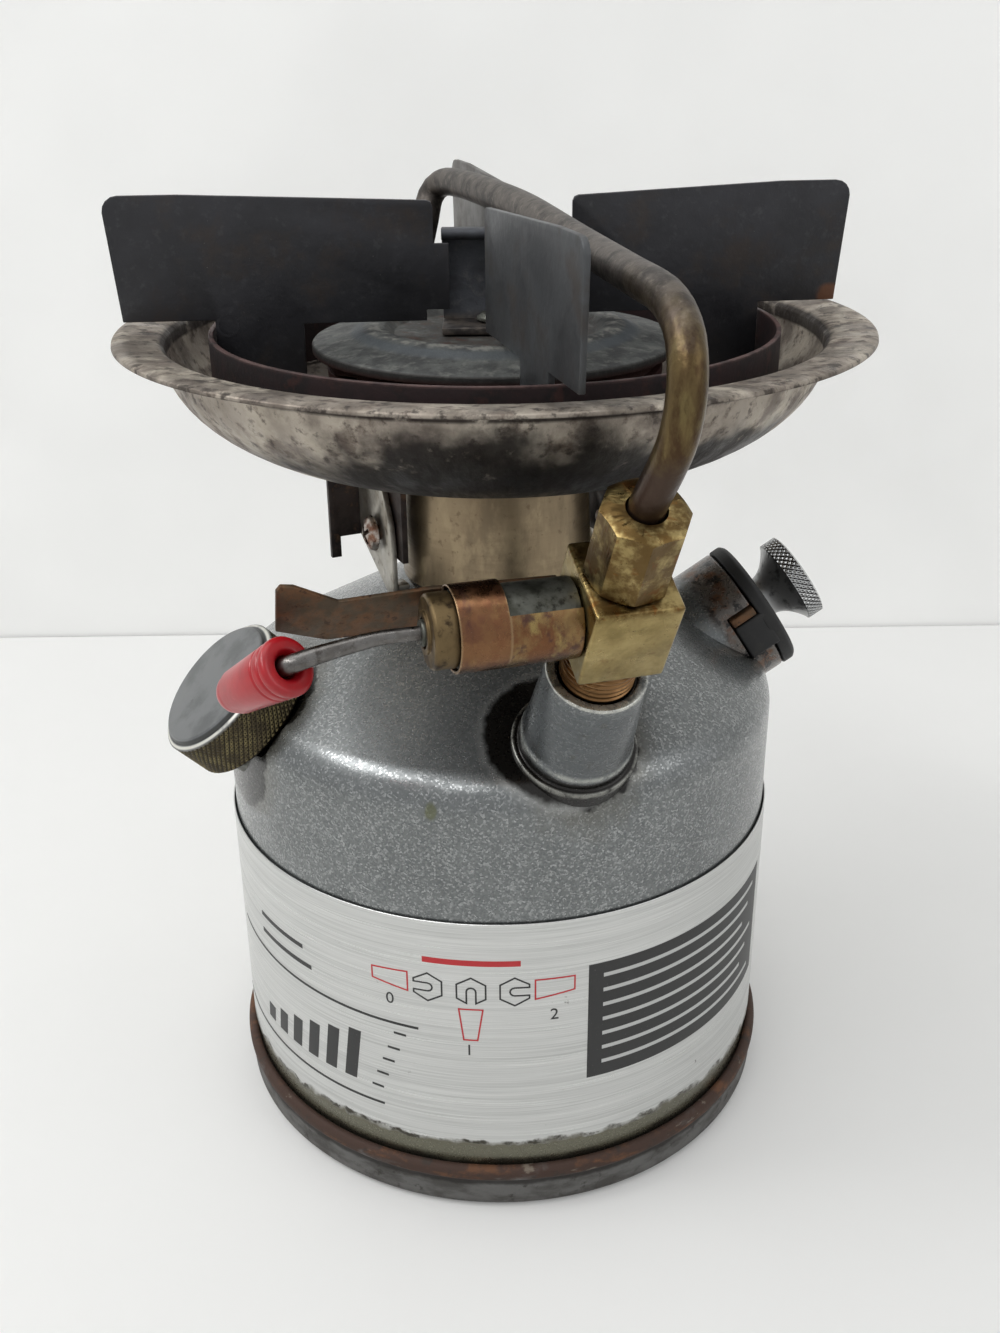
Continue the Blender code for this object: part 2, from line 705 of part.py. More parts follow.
def make_lever():
    """The stem with its housing, packing and sleeve, and the lever that turns it."""
    start = block_width / 2 + clearance
    end = start + housing_length
    hole = stem_radius + clearance
    packing_bore = packing_radius + clearance
    packing_low = end - packing_length - clearance
    spigot_end = start - housing_spigot_length
    profile = [
        (housing_radius, end), (housing_radius, start), (housing_spigot_radius, start),
        (housing_spigot_radius, spigot_end), (hole, spigot_end), (hole, packing_low - clearance),
        (packing_bore, packing_low - clearance), (packing_bore, end),
    ]
    turned("stem_housing", profile, "sooty_steel", lever_axis, medium_steps, closed=True)
    ring("stem_packing", packing_radius, hole, packing_low, packing_low + packing_length, "rubber",
         lever_axis)
    nut_start = end + clearance
    nut_end = nut_start + packing_nut_length
    profile = [
        (packing_collar_radius, nut_end + packing_collar_length), (packing_collar_radius, nut_end),
        (packing_nut_radius - packing_nut_chamfer, nut_end),
        (packing_nut_radius, nut_end - packing_nut_chamfer),
        (packing_nut_radius, nut_start), (hole, nut_start), (hole, nut_end + packing_collar_length),
    ]
    turned("packing_nut", profile, "tarnished_brass", lever_axis, medium_steps, closed=True)

    sleeve_inner = housing_radius + sleeve_gap
    sleeve_outer = sleeve_inner + sleeve_wall
    sleeve = ring("valve_sleeve", sleeve_outer, sleeve_inner, start, end + sleeve_overhang, "copper",
                  lever_axis, medium_steps)
    slot_axis = axis("sleeve_slot_axis", (0.0, 0.0, 0.0), 0.0, sleeve_cut_turn, lever_axis)
    reach = sleeve_outer + overrun
    slot = box("sleeve_slot", (-reach, 0.0, start - overrun),
               (reach, reach, end + sleeve_overhang - sleeve_band), None, slot_axis)
    cut(sleeve, slot)

    socket = rod_radius + clearance
    profile = [
        (0.0, stem_socket_start), (socket, stem_socket_start), (socket, stem_end), (stem_radius, stem_end),
        (stem_radius, -stem_tail), (0.0, -stem_tail),
    ]
    turned("valve_stem", profile, "tarnished_brass", lever_axis, small_steps)

    into_grip = Matrix.LocRotScale(grip_place, grip_axis.rotation_euler, None)
    bend = grip_place.z - rod_bend_start
    bow = Vector((grip_place.x, grip_place.y, 0.0))
    route = [Vector((0.0, 0.0, height))
             for height in (stem_socket_start + clearance, stem_end, rod_bend_start)]
    for rise, aside in rod_bow_shares:
        route.append(Vector((0.0, 0.0, rod_bend_start + bend * rise)) + bow * aside)
    route.append(grip_place.copy())
    for depth in (grip_mouth_depth, grip_bore_depth - clearance):
        route.append(into_grip @ Vector((0.0, 0.0, depth)))
    path = smooth_path(route, 2 * rod_radius * path_spacing_share)
    swell = []
    for point in path:
        share = min(1.0, max(0.0, (point.z - rod_bend_start) / bend))
        swell.append(1.0 + (rod_swell_share - 1.0) * share)
    tube("lever_rod", path, rod_radius, "bright_steel", lever_axis, swell)

    groove = grip_radius - grip_groove_depth
    profile = []
    for i in range(grip_tip_steps + 1):
        turn = math.pi / 2 * i / grip_tip_steps
        lean = grip_tip_radius * (1.0 - math.cos(turn))
        profile.append((grip_tip_radius * math.sin(turn), grip_length - lean))
    profile += [
        (grip_radius - grip_groove_depth / 2, grip_groove_place + grip_groove_depth * 2),
        (groove, grip_groove_place + grip_groove_depth), (groove, grip_groove_place),
        (grip_radius, grip_groove_place - grip_groove_depth), (grip_radius, grip_groove_depth),
        (groove, 0.0), (grip_mouth_radius, 0.0), (grip_bore, grip_mouth_depth), (grip_bore, grip_bore_depth),
        (0.0, grip_bore_depth),
    ]
    turned("lever_grip", profile, "red_plastic", grip_axis, medium_steps)

    low = -stop_height * stop_drop_share
    outline = [(start + along * stop_length, low + up * stop_height) for along, up in stop_outline_shares]
    plate("lever_stop", outline, stop_thickness, "rust", lever_axis,
          (-stop_back - stop_thickness / 2, 0.0, 0.0), (0.0, -math.pi / 2, 0.0))


def make_generator():
    """The nut on the valve, the arched tube, the jet at its end and the needle inside its foot."""
    nut_low = block_top + clearance
    nut_top = nut_low + nut_length
    shape = bmesh.new()
    bmesh.ops.create_cone(shape, cap_ends=True, segments=nut_sides, radius1=nut_corner_radius,
                          radius2=nut_corner_radius, depth=nut_length)
    bmesh.ops.rotate(shape, matrix=Matrix.Rotation(nut_turn, 3, "Z"), verts=shape.verts)
    bmesh.ops.translate(shape, vec=(0.0, 0.0, nut_low + nut_length / 2), verts=shape.verts)
    mesh = bpy.data.meshes.new("generator_nut")
    shape.to_mesh(mesh)
    shape.free()
    nut = add_piece("generator_nut", mesh, "tarnished_brass", valve_axis)
    inside = generator_neck_radius + clearance
    outlet = tube_radius + clearance
    profile = [
        (0.0, nut_top + overrun), (outlet, nut_top + overrun), (outlet, nut_top - nut_cap),
        (inside, nut_top - nut_cap),
        (inside, nut_low - overrun), (0.0, nut_low - overrun),
    ]
    cut(nut, turned("nut_bore", profile, None, valve_axis, small_steps))

    neck_top = block_top + generator_neck_height
    tube_foot = neck_top - tube_socket_depth + clearance
    tube_end = column_radius + jet_body_length + 2 * clearance
    jet_level = column_bottom + jet_height
    inwards = Vector((math.cos(jet_azimuth), math.sin(jet_azimuth), 0.0))
    lift = Vector((0.0, 0.0, jet_level))
    route = [in_world(valve_axis, 0.0, 0.0, tube_foot), in_world(valve_axis, 0.0, 0.0, neck_top),
             in_world(valve_axis, 0.0, 0.0, nut_top + nut_cap / 4)]
    for x, y, rise in arch_shares:
        route.append(Vector((x * pan_radius, y * pan_radius, pan_rim + rise * arch_height)))
    route += [inwards * (tube_end + 2 * tube_radius) + lift, inwards * tube_end + lift]
    path = smooth_path(route, tube_radius * path_spacing_share)
    pipe = tube("generator_tube", path, tube_radius, "generator_brass", tank_axis)
    first = path[0] + (path[0] - path[1]).normalized() * overrun
    last = path[-1] + (path[-1] - path[-2]).normalized() * overrun
    cut(pipe, tube("generator_bore", [first] + path + [last], tube_bore, None, tank_axis))

    jet_axis = axis("jet_axis", inwards * (tube_end - clearance) + lift, -math.pi / 2, jet_azimuth)
    body = jet_body_length
    profile = [
        (jet_bore, body + jet_nozzle_length), (jet_nozzle_radius, body + jet_nozzle_length),
        (jet_nozzle_radius, body), (jet_body_radius, body), (jet_body_radius, 0.0), (jet_bore, 0.0),
    ]
    turned("generator_jet", profile, "tarnished_brass", jet_axis, small_steps, closed=True)

    start = block_low + block_height - needle_start
    profile = [
        (0.0, start + needle_length), (needle_radius, start + needle_length),
        (needle_radius, start + needle_foot_height), (needle_foot_radius, start + needle_foot_height),
        (needle_foot_radius, start), (0.0, start),
    ]
    turned("cleaning_needle", profile, "bright_steel", valve_axis, small_steps // 2)
    return path


def make_filler():
    """The neck through the shoulder, and the screw cap with its gasket."""
    ring("filler_neck", filler_neck_radius, filler_neck_bore, -filler_neck_depth, filler_neck_height,
         "base_steel", filler_axis, medium_steps)
    ceiling = filler_cap_length - filler_cap_top
    gasket_top = ceiling - clearance
    ring("filler_gasket", filler_neck_radius, filler_neck_bore, gasket_top - gasket_thickness, gasket_top,
         "rubber", filler_axis, medium_steps)
    bore = filler_neck_radius + filler_thread_gap
    top = filler_cap_length
    profile = [
        (0.0, top), (filler_cap_radius - filler_cap_chamfer, top),
        (filler_cap_radius, top - filler_cap_chamfer),
        (filler_cap_radius, 0.0), (bore, 0.0), (bore, ceiling), (0.0, ceiling),
    ]
    turned("filler_cap", profile, "cap_casting", filler_axis, large_steps)


def make_pump():
    """The barrel in its collar, the cap with its tab and clip, the plunger and the air stem in it."""
    profile = [
        (collar_radius, 0.0), (collar_radius, -collar_depth), (barrel_radius, -collar_depth),
        (barrel_radius, -barrel_length), (stem_collar_radius + clearance, -barrel_length),
        (stem_collar_radius + clearance, barrel_end - barrel_length),
        (barrel_bore, barrel_end - barrel_length),
        (barrel_bore, 0.0),
    ]
    barrel = turned("pump_cylinder", profile, "tank_paint", pump_axis, medium_steps, closed=True)
    half = notch_width / 2
    reach = pump_cap_radius + overrun
    cut(barrel, box("pump_notch", (notch_floor_radius, -half, -notch_depth), (reach, half, overrun), None,
                    notch_axis))

    low = clearance
    top = low + pump_cap_thickness
    hole = plunger_radius + 2 * clearance
    spigot = barrel_bore - clearance
    profile = [
        (pump_cap_radius - pump_cap_bevel, top), (pump_cap_radius, top - pump_cap_bevel),
        (pump_cap_radius, low),
        (spigot, low), (spigot, -pump_spigot_depth), (hole, -pump_spigot_depth), (hole, top),
    ]
    cap = turned("pump_cap", profile, "black_plastic", pump_axis, medium_steps, closed=True)
    tab_low = clearance + clip_width + clearance - half
    inner = notch_floor_radius + clearance
    tab = box("pump_tab", (inner, tab_low, clearance - notch_depth),
              (collar_radius, half - clearance, low * 2), None, notch_axis)
    join(cap, tab)
    box("pump_clip", (inner, clearance - half, clearance - notch_depth),
        (collar_radius + clearance, tab_low - clearance, 0.0), "rust", notch_axis)

    floor = barrel_end - barrel_length
    check_low = floor + clearance
    stem_low = check_low + check_flange_thickness + clearance
    collar_top = stem_low + stem_collar_length
    cup_low = collar_top + plunger_rest_gap
    plunger_low = cup_low + clearance
    knob_low = top + clearance
    rod_top = knob_low + knob_socket_depth - clearance
    profile = [
        (0.0, rod_top), (plunger_radius, rod_top), (plunger_radius, plunger_low),
        (plunger_bore, plunger_low),
        (plunger_bore, low), (0.0, low),
    ]
    turned("plunger_rod", profile, "bright_steel", pump_axis, small_steps)
    knob_top = knob_low + knob_length
    socket = plunger_radius + clearance
    flare = knob_radius - knob_neck_radius
    rise = knob_length - knob_rim
    profile = [(0.0, knob_top), (knob_radius * knob_face_share, knob_top - knob_crown / 3),
               (knob_radius - knob_crown, knob_top - knob_crown), (knob_radius, knob_top - 2 * knob_crown),
               (knob_radius, knob_top - knob_rim)]
    for share in knob_neck_shares:
        swell = knob_flare_share * share ** knob_flare_power
        profile.append((knob_neck_radius + flare * swell, knob_low + rise * share))
    profile += [(socket, knob_low), (socket, knob_low + knob_socket_depth),
                 (0.0, knob_low + knob_socket_depth)]
    turned("pump_knob", profile, "bright_steel", pump_axis, large_steps)

    cup_outer = barrel_bore - clearance
    cup_top = cup_low + cup_length
    profile = [
        (cup_outer, cup_top), (cup_outer, cup_low), (cup_outer - cup_wall, cup_low),
        (cup_outer - cup_wall, cup_top - cup_plate), (socket, cup_top - cup_plate), (socket, cup_top),
    ]
    turned("pump_cup", profile, "leather", pump_axis, medium_steps, closed=True)

    profile = [
        (check_flange_radius, check_low + check_flange_thickness), (check_flange_radius, check_low),
        (stem_collar_radius, check_low), (stem_collar_radius, check_low - check_body_length),
        (check_bore, check_low - check_body_length), (check_bore, check_low + check_flange_thickness),
    ]
    turned("check_valve", profile, "tarnished_brass", pump_axis, small_steps, closed=True)
    stem_top = low - stem_wire_depth
    profile = [
        (0.0, stem_top), (stem_wire_radius, stem_top), (stem_wire_radius, collar_top),
        (stem_collar_radius, collar_top), (stem_collar_radius, stem_low + stem_point_length),
        (check_bore, stem_low), (0.0, stem_low),
    ]
    turned("air_stem", profile, "bright_steel", pump_axis, small_steps)


def make_bracket(side, azimuth):
    """One ear on the tank, the leg that carries the pan, and the screw through both."""
    carrier = axis("bracket_axis_" + side, (0.0, 0.0, 0.0), 0.0, azimuth)
    upright = (math.pi / 2, 0.0, math.pi / 2)
    start = bracket_distance
    near = -ear_width * ear_back_share
    far = near + ear_width
    ear_low = cone_height(bracket_distance) + clearance
    outline = [(near + along * ear_width, ear_low + up * ear_height) for along, up in ear_outline_shares]
    ear = plate("tank_ear_" + side, outline, bracket_plate, "ear_steel", carrier,
                (start + bracket_plate / 2, 0.0, 0.0), upright)
    foot_low = cone_height(start - ear_foot_reach) + clearance
    foot = box("ear_foot_" + side, (start - ear_foot_reach, far - ear_foot_width, foot_low),
               (start + bracket_plate / 2, far - merge_gap, foot_low + bracket_plate), None, carrier)
    join(ear, foot)
    screw_along = near + ear_width * ear_screw_shares[0]
    screw_height = ear_low + ear_height * ear_screw_shares[1]
    screw_axis = axis("leg_screw_axis_" + side, (start, screw_along, screw_height), math.pi / 2, 0.0,
                      carrier)
    hole = rod("leg_screw_hole_" + side, bracket_screw_radius + clearance, -4 * bracket_plate,
               2 * bracket_plate, None, screw_axis)
    cut(ear, hole)

    inner = start - clearance - bracket_plate
    leg_low = ear_low + ear_height * leg_low_share
    leg_top = column_top
    leg_far = far + leg_overhang
    outline = [(near, leg_low), (leg_far, leg_low), (leg_far, leg_top), (near, leg_top)]
    leg = plate("burner_leg_" + side, outline, bracket_plate, "bracket_steel", carrier,
                (inner + bracket_plate / 2, 0.0, 0.0), upright)
    wing_near = near - clearance - bracket_plate
    wing_end = inner + leg_wing_reach
    wing_outline = [
        (inner, leg_low), (wing_end - leg_toe_width, leg_low),
        (wing_end - leg_toe_width, leg_low - leg_toe_drop),
        (wing_end, leg_low - leg_toe_drop), (wing_end, leg_top), (inner, leg_top),
    ]
    wing = plate("burner_wing_" + side, wing_outline, bracket_plate, None, carrier,
                 (0.0, wing_near + bracket_plate / 2, 0.0), (math.pi / 2, 0.0, 0.0))
    web = box("burner_web_" + side, (inner, wing_near + bracket_plate / 2, leg_low + merge_gap),
              (inner + bracket_plate - merge_gap, near + merge_gap, leg_top - merge_gap), None, carrier)
    join(leg, wing, web)
    cut(leg, hole)

    head = bracket_plate + clearance
    profile = [
        (0.0, head + bracket_screw_head_height),
        (bracket_screw_head_radius, head + bracket_screw_head_height),
        (bracket_screw_head_radius, head), (bracket_screw_radius, head),
        (bracket_screw_radius, -2 * bracket_plate - clearance), (0.0, -2 * bracket_plate - clearance),
    ]
    turned("leg_screw_" + side, profile, "bright_steel", screw_axis, small_steps)


def make_pan(tube_path):
    """The column, the pan with its hole for the tube, and the windscreen ring in it."""
    profile = [
        (column_top_radius, column_top), (column_radius, column_bottom),
        (column_radius - column_wall, column_bottom),
        (column_top_radius - column_wall, column_top),
    ]
    column = turned("mixing_column", profile, "column_steel", tank_axis, large_steps, closed=True)
    jet_axis = bpy.data.objects["jet_axis"]
    cut(column, rod("jet_hole", jet_nozzle_radius + clearance, -overrun,
                    jet_body_length + jet_nozzle_length + overrun, None, jet_axis))

    profile = [(pan_radius, pan_rim - pan_flange_drop), (pan_radius - pan_flange_drop, pan_rim),
               (pan_flange_radius, pan_rim - pan_flange_drop)]
    for i in range(pan_bowl_steps, -1, -1):
        turn = math.pi / 2 * i / pan_bowl_steps
        radius = pan_floor_radius + (pan_bowl_radius - pan_floor_radius) * math.sin(turn)
        profile.append((radius, bowl_height(radius)))
    profile.append((pan_hole_radius, pan_floor))
    pan = turned("burner_pan", profile, "pan_steel", tank_axis, large_steps)
    sheet = pan.modifiers.new("sheet", "SOLIDIFY")
    sheet.thickness = pan_wall
    sheet.offset = 1.0
    over_pan = [point for point in tube_path if point.xy.length < pan_bowl_radius]
    crossing = min(over_pan, key=lambda point: abs(point.z - bowl_height(point.xy.length)))
    hole_axis = axis("tube_hole_axis", (crossing.x, crossing.y, 0.0))
    cut(pan, rod("tube_hole", tube_hole_radius, pan_floor - 2 * overrun, pan_rim, None, hole_axis))

    ring_low = bowl_height(ring_radius) + clearance
    ring("windscreen_ring", ring_radius, ring_radius - ring_wall, ring_low, pan_rim - ring_drop,
         "ring_steel", tank_axis, large_steps)


def make_burner():
    """The cup, the three flame rings, the cap and the screw that holds them together."""
    low = pan_floor + clearance
    rim = low + burner_cup_height
    wall = burner_cup_wall
    profile = [
        (burner_cup_radius, rim), (burner_cup_floor_radius, low), (burner_cup_hole, low),
        (burner_cup_hole, low + wall), (burner_cup_floor_radius - wall / 2, low + wall),
        (burner_cup_radius - wall, rim),
    ]
    cup = turned("burner_cup", profile, "burner_steel", tank_axis, large_steps, closed=True)
    half = spider_width / 2
    reach = burner_cup_hole + overrun
    spider = box("burner_spider", (-reach, -half, low + wall / 4),
                 (reach, half, low + wall / 4 + spider_height), None, tank_axis)
    join(cup, spider)
    cut(cup, rod("spider_hole", cap_screw_radius + clearance, low - overrun, rim, None, tank_axis))

    level = rim + clearance
    for place, wavy in (("lower", True), ("middle", False), ("upper", True)):
        swing = wave_height if wavy else 0.0
        flame_ring = ring("burner_ring_" + place, flame_ring_radius, flame_ring_bore, level + swing,
                          level + swing + flame_ring_thickness, "burner_steel", tank_axis, large_steps)
        if wavy:
            make_wavy(flame_ring, swing)
        level += flame_ring_thickness + 2 * swing + clearance

    under = level
    lower = under - clearance
    edge = under + cap_edge
    ridge_in = cap_ridge_radius - cap_ridge_width
    ridge = under + cap_ridge_height
    centre = under + cap_centre_height
    hole = cap_screw_radius + clearance
    profile = [
        (hole, centre), (ridge_in - cap_ridge_width, centre), (ridge_in, ridge), (cap_ridge_radius, ridge),
        (cap_ridge_radius + cap_ridge_width / 2, centre + cap_edge / 3),
        (cap_radius - cap_bevel, edge + cap_edge),
        (cap_radius, edge), (cap_radius, lower), (flame_ring_radius + clearance, lower),
        (flame_ring_radius + clearance, under), (flame_ring_bore, under),
        (flame_ring_bore - cap_plate, centre - cap_plate),
        (hole, centre - cap_plate),
    ]
    turned("burner_cap", profile, "burner_steel", tank_axis, large_steps, closed=True)

    foot = centre + clearance
    head = foot + rest_foot + clearance
    profile = [
        (0.0, head + cap_screw_head_height), (cap_screw_head_radius, head + cap_screw_head_height),
        (cap_screw_head_radius, head), (cap_screw_radius, head), (cap_screw_radius, low + clearance),
        (0.0, low + clearance),
    ]
    turned("cap_screw", profile, "bright_steel", tank_axis, small_steps)
    return foot, ridge


def make_wavy(flame_ring, swing):
    """Swap a flat ring's turned profile for a mesh whose faces rise and fall round the ring."""
    bpy.context.view_layer.update()
    evaluated = flame_ring.evaluated_get(bpy.context.evaluated_depsgraph_get())
    mesh = bpy.data.meshes.new_from_object(evaluated)
    for vertex in mesh.vertices:
        turn = math.atan2(vertex.co.y, vertex.co.x)
        vertex.co.z += swing * math.sin(wave_count * turn)
    flame_ring.modifiers.clear()
    flame_ring.data = mesh


def make_rest(foot, tube_path):
    """The bent plate that stands on the burner cap under the tube."""
    back = rest_depth - rest_front
    wall_front = back - rest_plate
    over = min(tube_path, key=lambda point: abs(point.y - wall_front) + abs(point.z - pan_rim - arch_height))
    top = over.z - tube_radius - 2 * clearance
    lip_front = back - rest_lip
    outline = [
        (-rest_front, foot), (back, foot), (back, top - rest_plate / 2), (back - rest_plate / 2, top),
        (lip_front + rest_plate / 2, top), (lip_front, top - rest_plate / 2), (lip_front, top - rest_plate),
        (wall_front, top - rest_plate), (wall_front, foot + rest_foot), (-rest_front, foot + rest_foot),
    ]
    rest = plate("generator_rest", outline, rest_width, "burner_steel", tank_axis, (0.0, 0.0, 0.0),
                 (math.pi / 2, 0.0, math.pi / 2))
    hole = rod("rest_hole", cap_screw_radius + clearance, foot - overrun, foot + rest_foot + overrun, None,
               tank_axis)
    cut(rest, hole)


def make_vane(name, outer_shares, inner_shares, step, cap_top):
    """One pot support: a sheet on edge that stands in the pan and reaches over the burner cap."""
    outer = Vector(outer_shares) * pan_radius
    inner = Vector(inner_shares) * pan_radius
    along = (inner - outer).normalized()
    length = (inner - outer).length
    middle = -outer.dot(along)
    aside = abs(outer.x * along.y - outer.y * along.x)

    def reach_at(radius):
        return middle - math.sqrt(radius ** 2 - aside ** 2)

    top = pan_rim + vane_height
    low = pan_rim + vane_stand
    over_cap = cap_top + vane_cap_gap
    outline = []
    for i in range(vane_corner_steps + 1):
        turn = math.pi / 2 * i / vane_corner_steps
        outline.append((vane_corner * (1.0 - math.sin(turn)), top - vane_corner * (1.0 - math.cos(turn))))
    tab_start = ring_radius - ring_wall - vane_tab_gap
    outline += [(vane_taper, low), (reach_at(tab_start), low)]
    for i in range(tab_steps + 1):
        radius = tab_start + (vane_tab_reach - tab_start) * i / tab_steps
        outline.append((reach_at(radius), bowl_height(radius) + vane_tab_gap))
    outline.append((reach_at(vane_tab_reach), over_cap))
    if step:
        ledge = length - vane_step_back
        outline += [(ledge, over_cap), (ledge, over_cap + vane_step_rise),
                    (length + step, over_cap + vane_step_rise), (length + step, top - vane_step_drop),
                    (length, top - vane_step_drop)]
    else:
        outline.append((length, over_cap))
    outline += [(length, top - vane_slope_drop - vane_inner_corner),
                (length - vane_inner_corner * inner_corner_share, top - vane_slope_drop - vane_inner_corner
                 * inner_corner_share),
                (length - vane_inner_corner, top - vane_slope_drop), (vane_flat, top)]
    turn = math.atan2(along.y, along.x)
    plate(name, outline, vane_thickness, "vane_steel", tank_axis, (outer.x, outer.y, 0.0),
          (math.pi / 2, 0.0, turn))


make_tank()
make_valve()
make_lever()
arch_path = make_generator()
make_filler()
make_pump()
make_bracket("left", bracket_azimuth)
make_bracket("right", bracket_azimuth + math.pi)
make_pan(arch_path)
rest_foot_height, cap_top_height = make_burner()
make_rest(rest_foot_height, arch_path)
for vane_name, (outer_end, inner_end) in vane_ends_shares.items():
    make_vane(vane_name, outer_end, inner_end, vane_steps.get(vane_name, 0.0), cap_top_height)
bpy.context.view_layer.update()
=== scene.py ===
"""Looks of a single-burner camp stove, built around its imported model.

Every visible piece gets a smooth, detailed mesh in place of its plain node, with a finish of its own.
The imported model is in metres, with +Z up, and the valve looks towards -Y. Sizes here are millimetres,
which the helpers that make shapes and finishes turn into metres.
"""
import functools
import json
import math

import bmesh
import bpy
from bpy.props import FloatProperty, IntProperty, PointerProperty, StringProperty
from bpy.types import Operator, Panel, PropertyGroup
from mathutils import Matrix, Vector

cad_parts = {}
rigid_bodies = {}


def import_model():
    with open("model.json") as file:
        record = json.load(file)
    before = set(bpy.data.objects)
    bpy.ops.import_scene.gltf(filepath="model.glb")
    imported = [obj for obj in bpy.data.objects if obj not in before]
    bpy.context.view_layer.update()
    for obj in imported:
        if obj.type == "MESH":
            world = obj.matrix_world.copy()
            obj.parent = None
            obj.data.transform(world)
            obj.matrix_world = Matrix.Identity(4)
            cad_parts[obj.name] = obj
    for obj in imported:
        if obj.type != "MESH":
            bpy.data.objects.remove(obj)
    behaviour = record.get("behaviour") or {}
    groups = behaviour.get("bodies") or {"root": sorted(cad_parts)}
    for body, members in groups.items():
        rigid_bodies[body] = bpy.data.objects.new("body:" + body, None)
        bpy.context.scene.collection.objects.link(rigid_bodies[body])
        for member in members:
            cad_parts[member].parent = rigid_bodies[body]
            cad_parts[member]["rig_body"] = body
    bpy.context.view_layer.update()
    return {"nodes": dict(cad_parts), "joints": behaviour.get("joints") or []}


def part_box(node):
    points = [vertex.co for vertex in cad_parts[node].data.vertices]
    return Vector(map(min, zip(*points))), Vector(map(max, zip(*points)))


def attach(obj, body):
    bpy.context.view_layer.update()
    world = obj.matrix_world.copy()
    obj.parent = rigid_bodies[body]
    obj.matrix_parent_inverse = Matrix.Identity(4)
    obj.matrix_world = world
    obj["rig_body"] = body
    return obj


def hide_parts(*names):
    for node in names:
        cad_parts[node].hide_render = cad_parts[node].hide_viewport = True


bl_info = {
    "name": "Camp stove looks",
    "version": (1, 0, 0),
    "blender": (4, 5, 0),
    "location": "3D View > Sidebar > Stove",
    "description": "Builds the visible pieces and the stage of a single-burner camp stove",
    "category": "Object",
}

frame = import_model()

mm = 0.001
upwards = Vector((0.0, 0.0, 1.0))

# The frame's own places: joints carry the axes of the lever, the pump and the filler cap
joints = {joint["name"]: joint for joint in frame["joints"]}


def carrier_on(point, direction):
    """A frame whose Z is an axis, whose Y is level, and whose X then leans down and outwards."""
    z = Vector(direction).normalized()
    y = upwards.cross(z).normalized()
    return Matrix.LocRotScale(Vector(point), Matrix((y.cross(z), y, z)).transposed(), None)


def corners(node):
    """The low and the high corner of a CAD node."""
    return [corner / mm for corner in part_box(node)]


def heading(azimuth):
    """A level direction at an angle in degrees."""
    return Vector((math.cos(math.radians(azimuth)), math.sin(math.radians(azimuth)), 0.0))


stem_height = 33.71
valve_direction = Vector(joints["needle_lift"]["axis"])
stem_direction = Vector(joints["fuel_lever_turn"]["axis"])
stem_point = Vector(joints["fuel_lever_turn"]["pos_m"])
stem_axes = Matrix((valve_direction.cross(stem_direction), valve_direction, stem_direction))
lever_frame = Matrix.LocRotScale(stem_point, stem_axes.transposed(), None)
valve_frame = carrier_on(stem_point - valve_direction * (stem_height * mm), valve_direction)
pump_frame, filler_frame = [carrier_on(joints[name]["pos_m"], joints[name]["axis"])
                            for name in ("air_stem_turn", "cap_turn")]
tank_frame = Matrix.Identity(4)

# Sizes that are read from the frame
tank_radius, tank_top = corners("tank_shell")[1].xz
tank_bottom = corners("tank_shell")[0].z
base_radius, base_top = corners("tank_base")[1].xz
label_radius, label_top = corners("label_band")[1].xz
label_foot = corners("label_band")[0].z
pan_radius, pan_rim = corners("burner_pan")[1].xz
pan_foot = corners("burner_pan")[0].z
ring_radius, ring_top = corners("windscreen_ring")[1].xz
cap_foot = corners("burner_cap")[0].z
column_foot, column_top = [corner.z for corner in corners("mixing_column")]
arch_top = corners("generator_tube")[1].z

# The tank's cone: its slope, and its height where it would meet the side
cone_slope, cone_foot = 0.55, 84.3
# The pan's bowl: the radius of its flat middle, how far it runs out from there, and how deep it is
bowl_flat, bowl_run, bowl_depth = 19.0, 35.8, 19.8


def length(name, text, default, least=0.0):
    return FloatProperty(name=name, description=text, default=default * mm, min=least * mm, unit="LENGTH")


def power(name, text, default):
    return FloatProperty(name=name, description=text, default=default, min=0.0, unit="POWER")


def tint(name, text, default):
    return StringProperty(name=name, description=text, default=default)


class StoveSizes(PropertyGroup):
    """How finely the round pieces are divided, and the sizes of edges and knurls."""
    large_steps: IntProperty(name="Large steps", description="Divisions round the tank and the pan",
                             default=192, min=24, max=512)
    small_steps: IntProperty(name="Small steps", description="Divisions round the fittings",
                             default=72, min=16, max=256)
    edge: length("Edge", "Rounding of machined and sheared edges", 0.2)
    knurl_pitch: length("Knurl pitch", "Distance between the teeth of a knurl", 1.1, 0.2)
    knurl_depth: length("Knurl depth", "How deep a knurl is pressed", 0.32)


class StoveColours(PropertyGroup):
    """Colours of the main finishes, as sRGB hex values."""
    enamel: tint("Enamel", "Flake enamel of the tank", "787b7b")
    grip: tint("Grip", "Moulded lever grip", "b00e1b")
    brass: tint("Brass", "Machined brass", "978558")
    foil: tint("Foil", "Brushed label foil", "d6d7d5")
    dark_ink: tint("Dark ink", "Dark print on the label", "262626")
    red_ink: tint("Red ink", "Red print on the label", "c22a30")


class StoveStage(PropertyGroup):
    """The lamps and the paper round the stove."""
    key_power: power("Key", "Power of the long front lamp", 4.2)
    fill_power: power("Fill", "Power of the lamp on the right", 1.1)
    top_power: power("Top", "Power of the lamp overhead", 2.8)
    sheen_power: power("Sheen", "Power of the high left lamp that shines on the tank's shoulder", 2.2)
    room: FloatProperty(name="Room", description="Light from the room itself", default=0.46, min=0.0)
    lift: FloatProperty(name="Paper lift", description="How much paler the camera sees the paper",
                        default=0.14, min=0.0, max=1.0)
    floor: tint("Floor", "Colour of the paper underneath", "d9d9d7")
    wall: tint("Wall", "Colour of the paper behind", "f6f6f4")


def sizes():
    return bpy.context.scene.stove_sizes


def colours():
    return bpy.context.scene.stove_colours


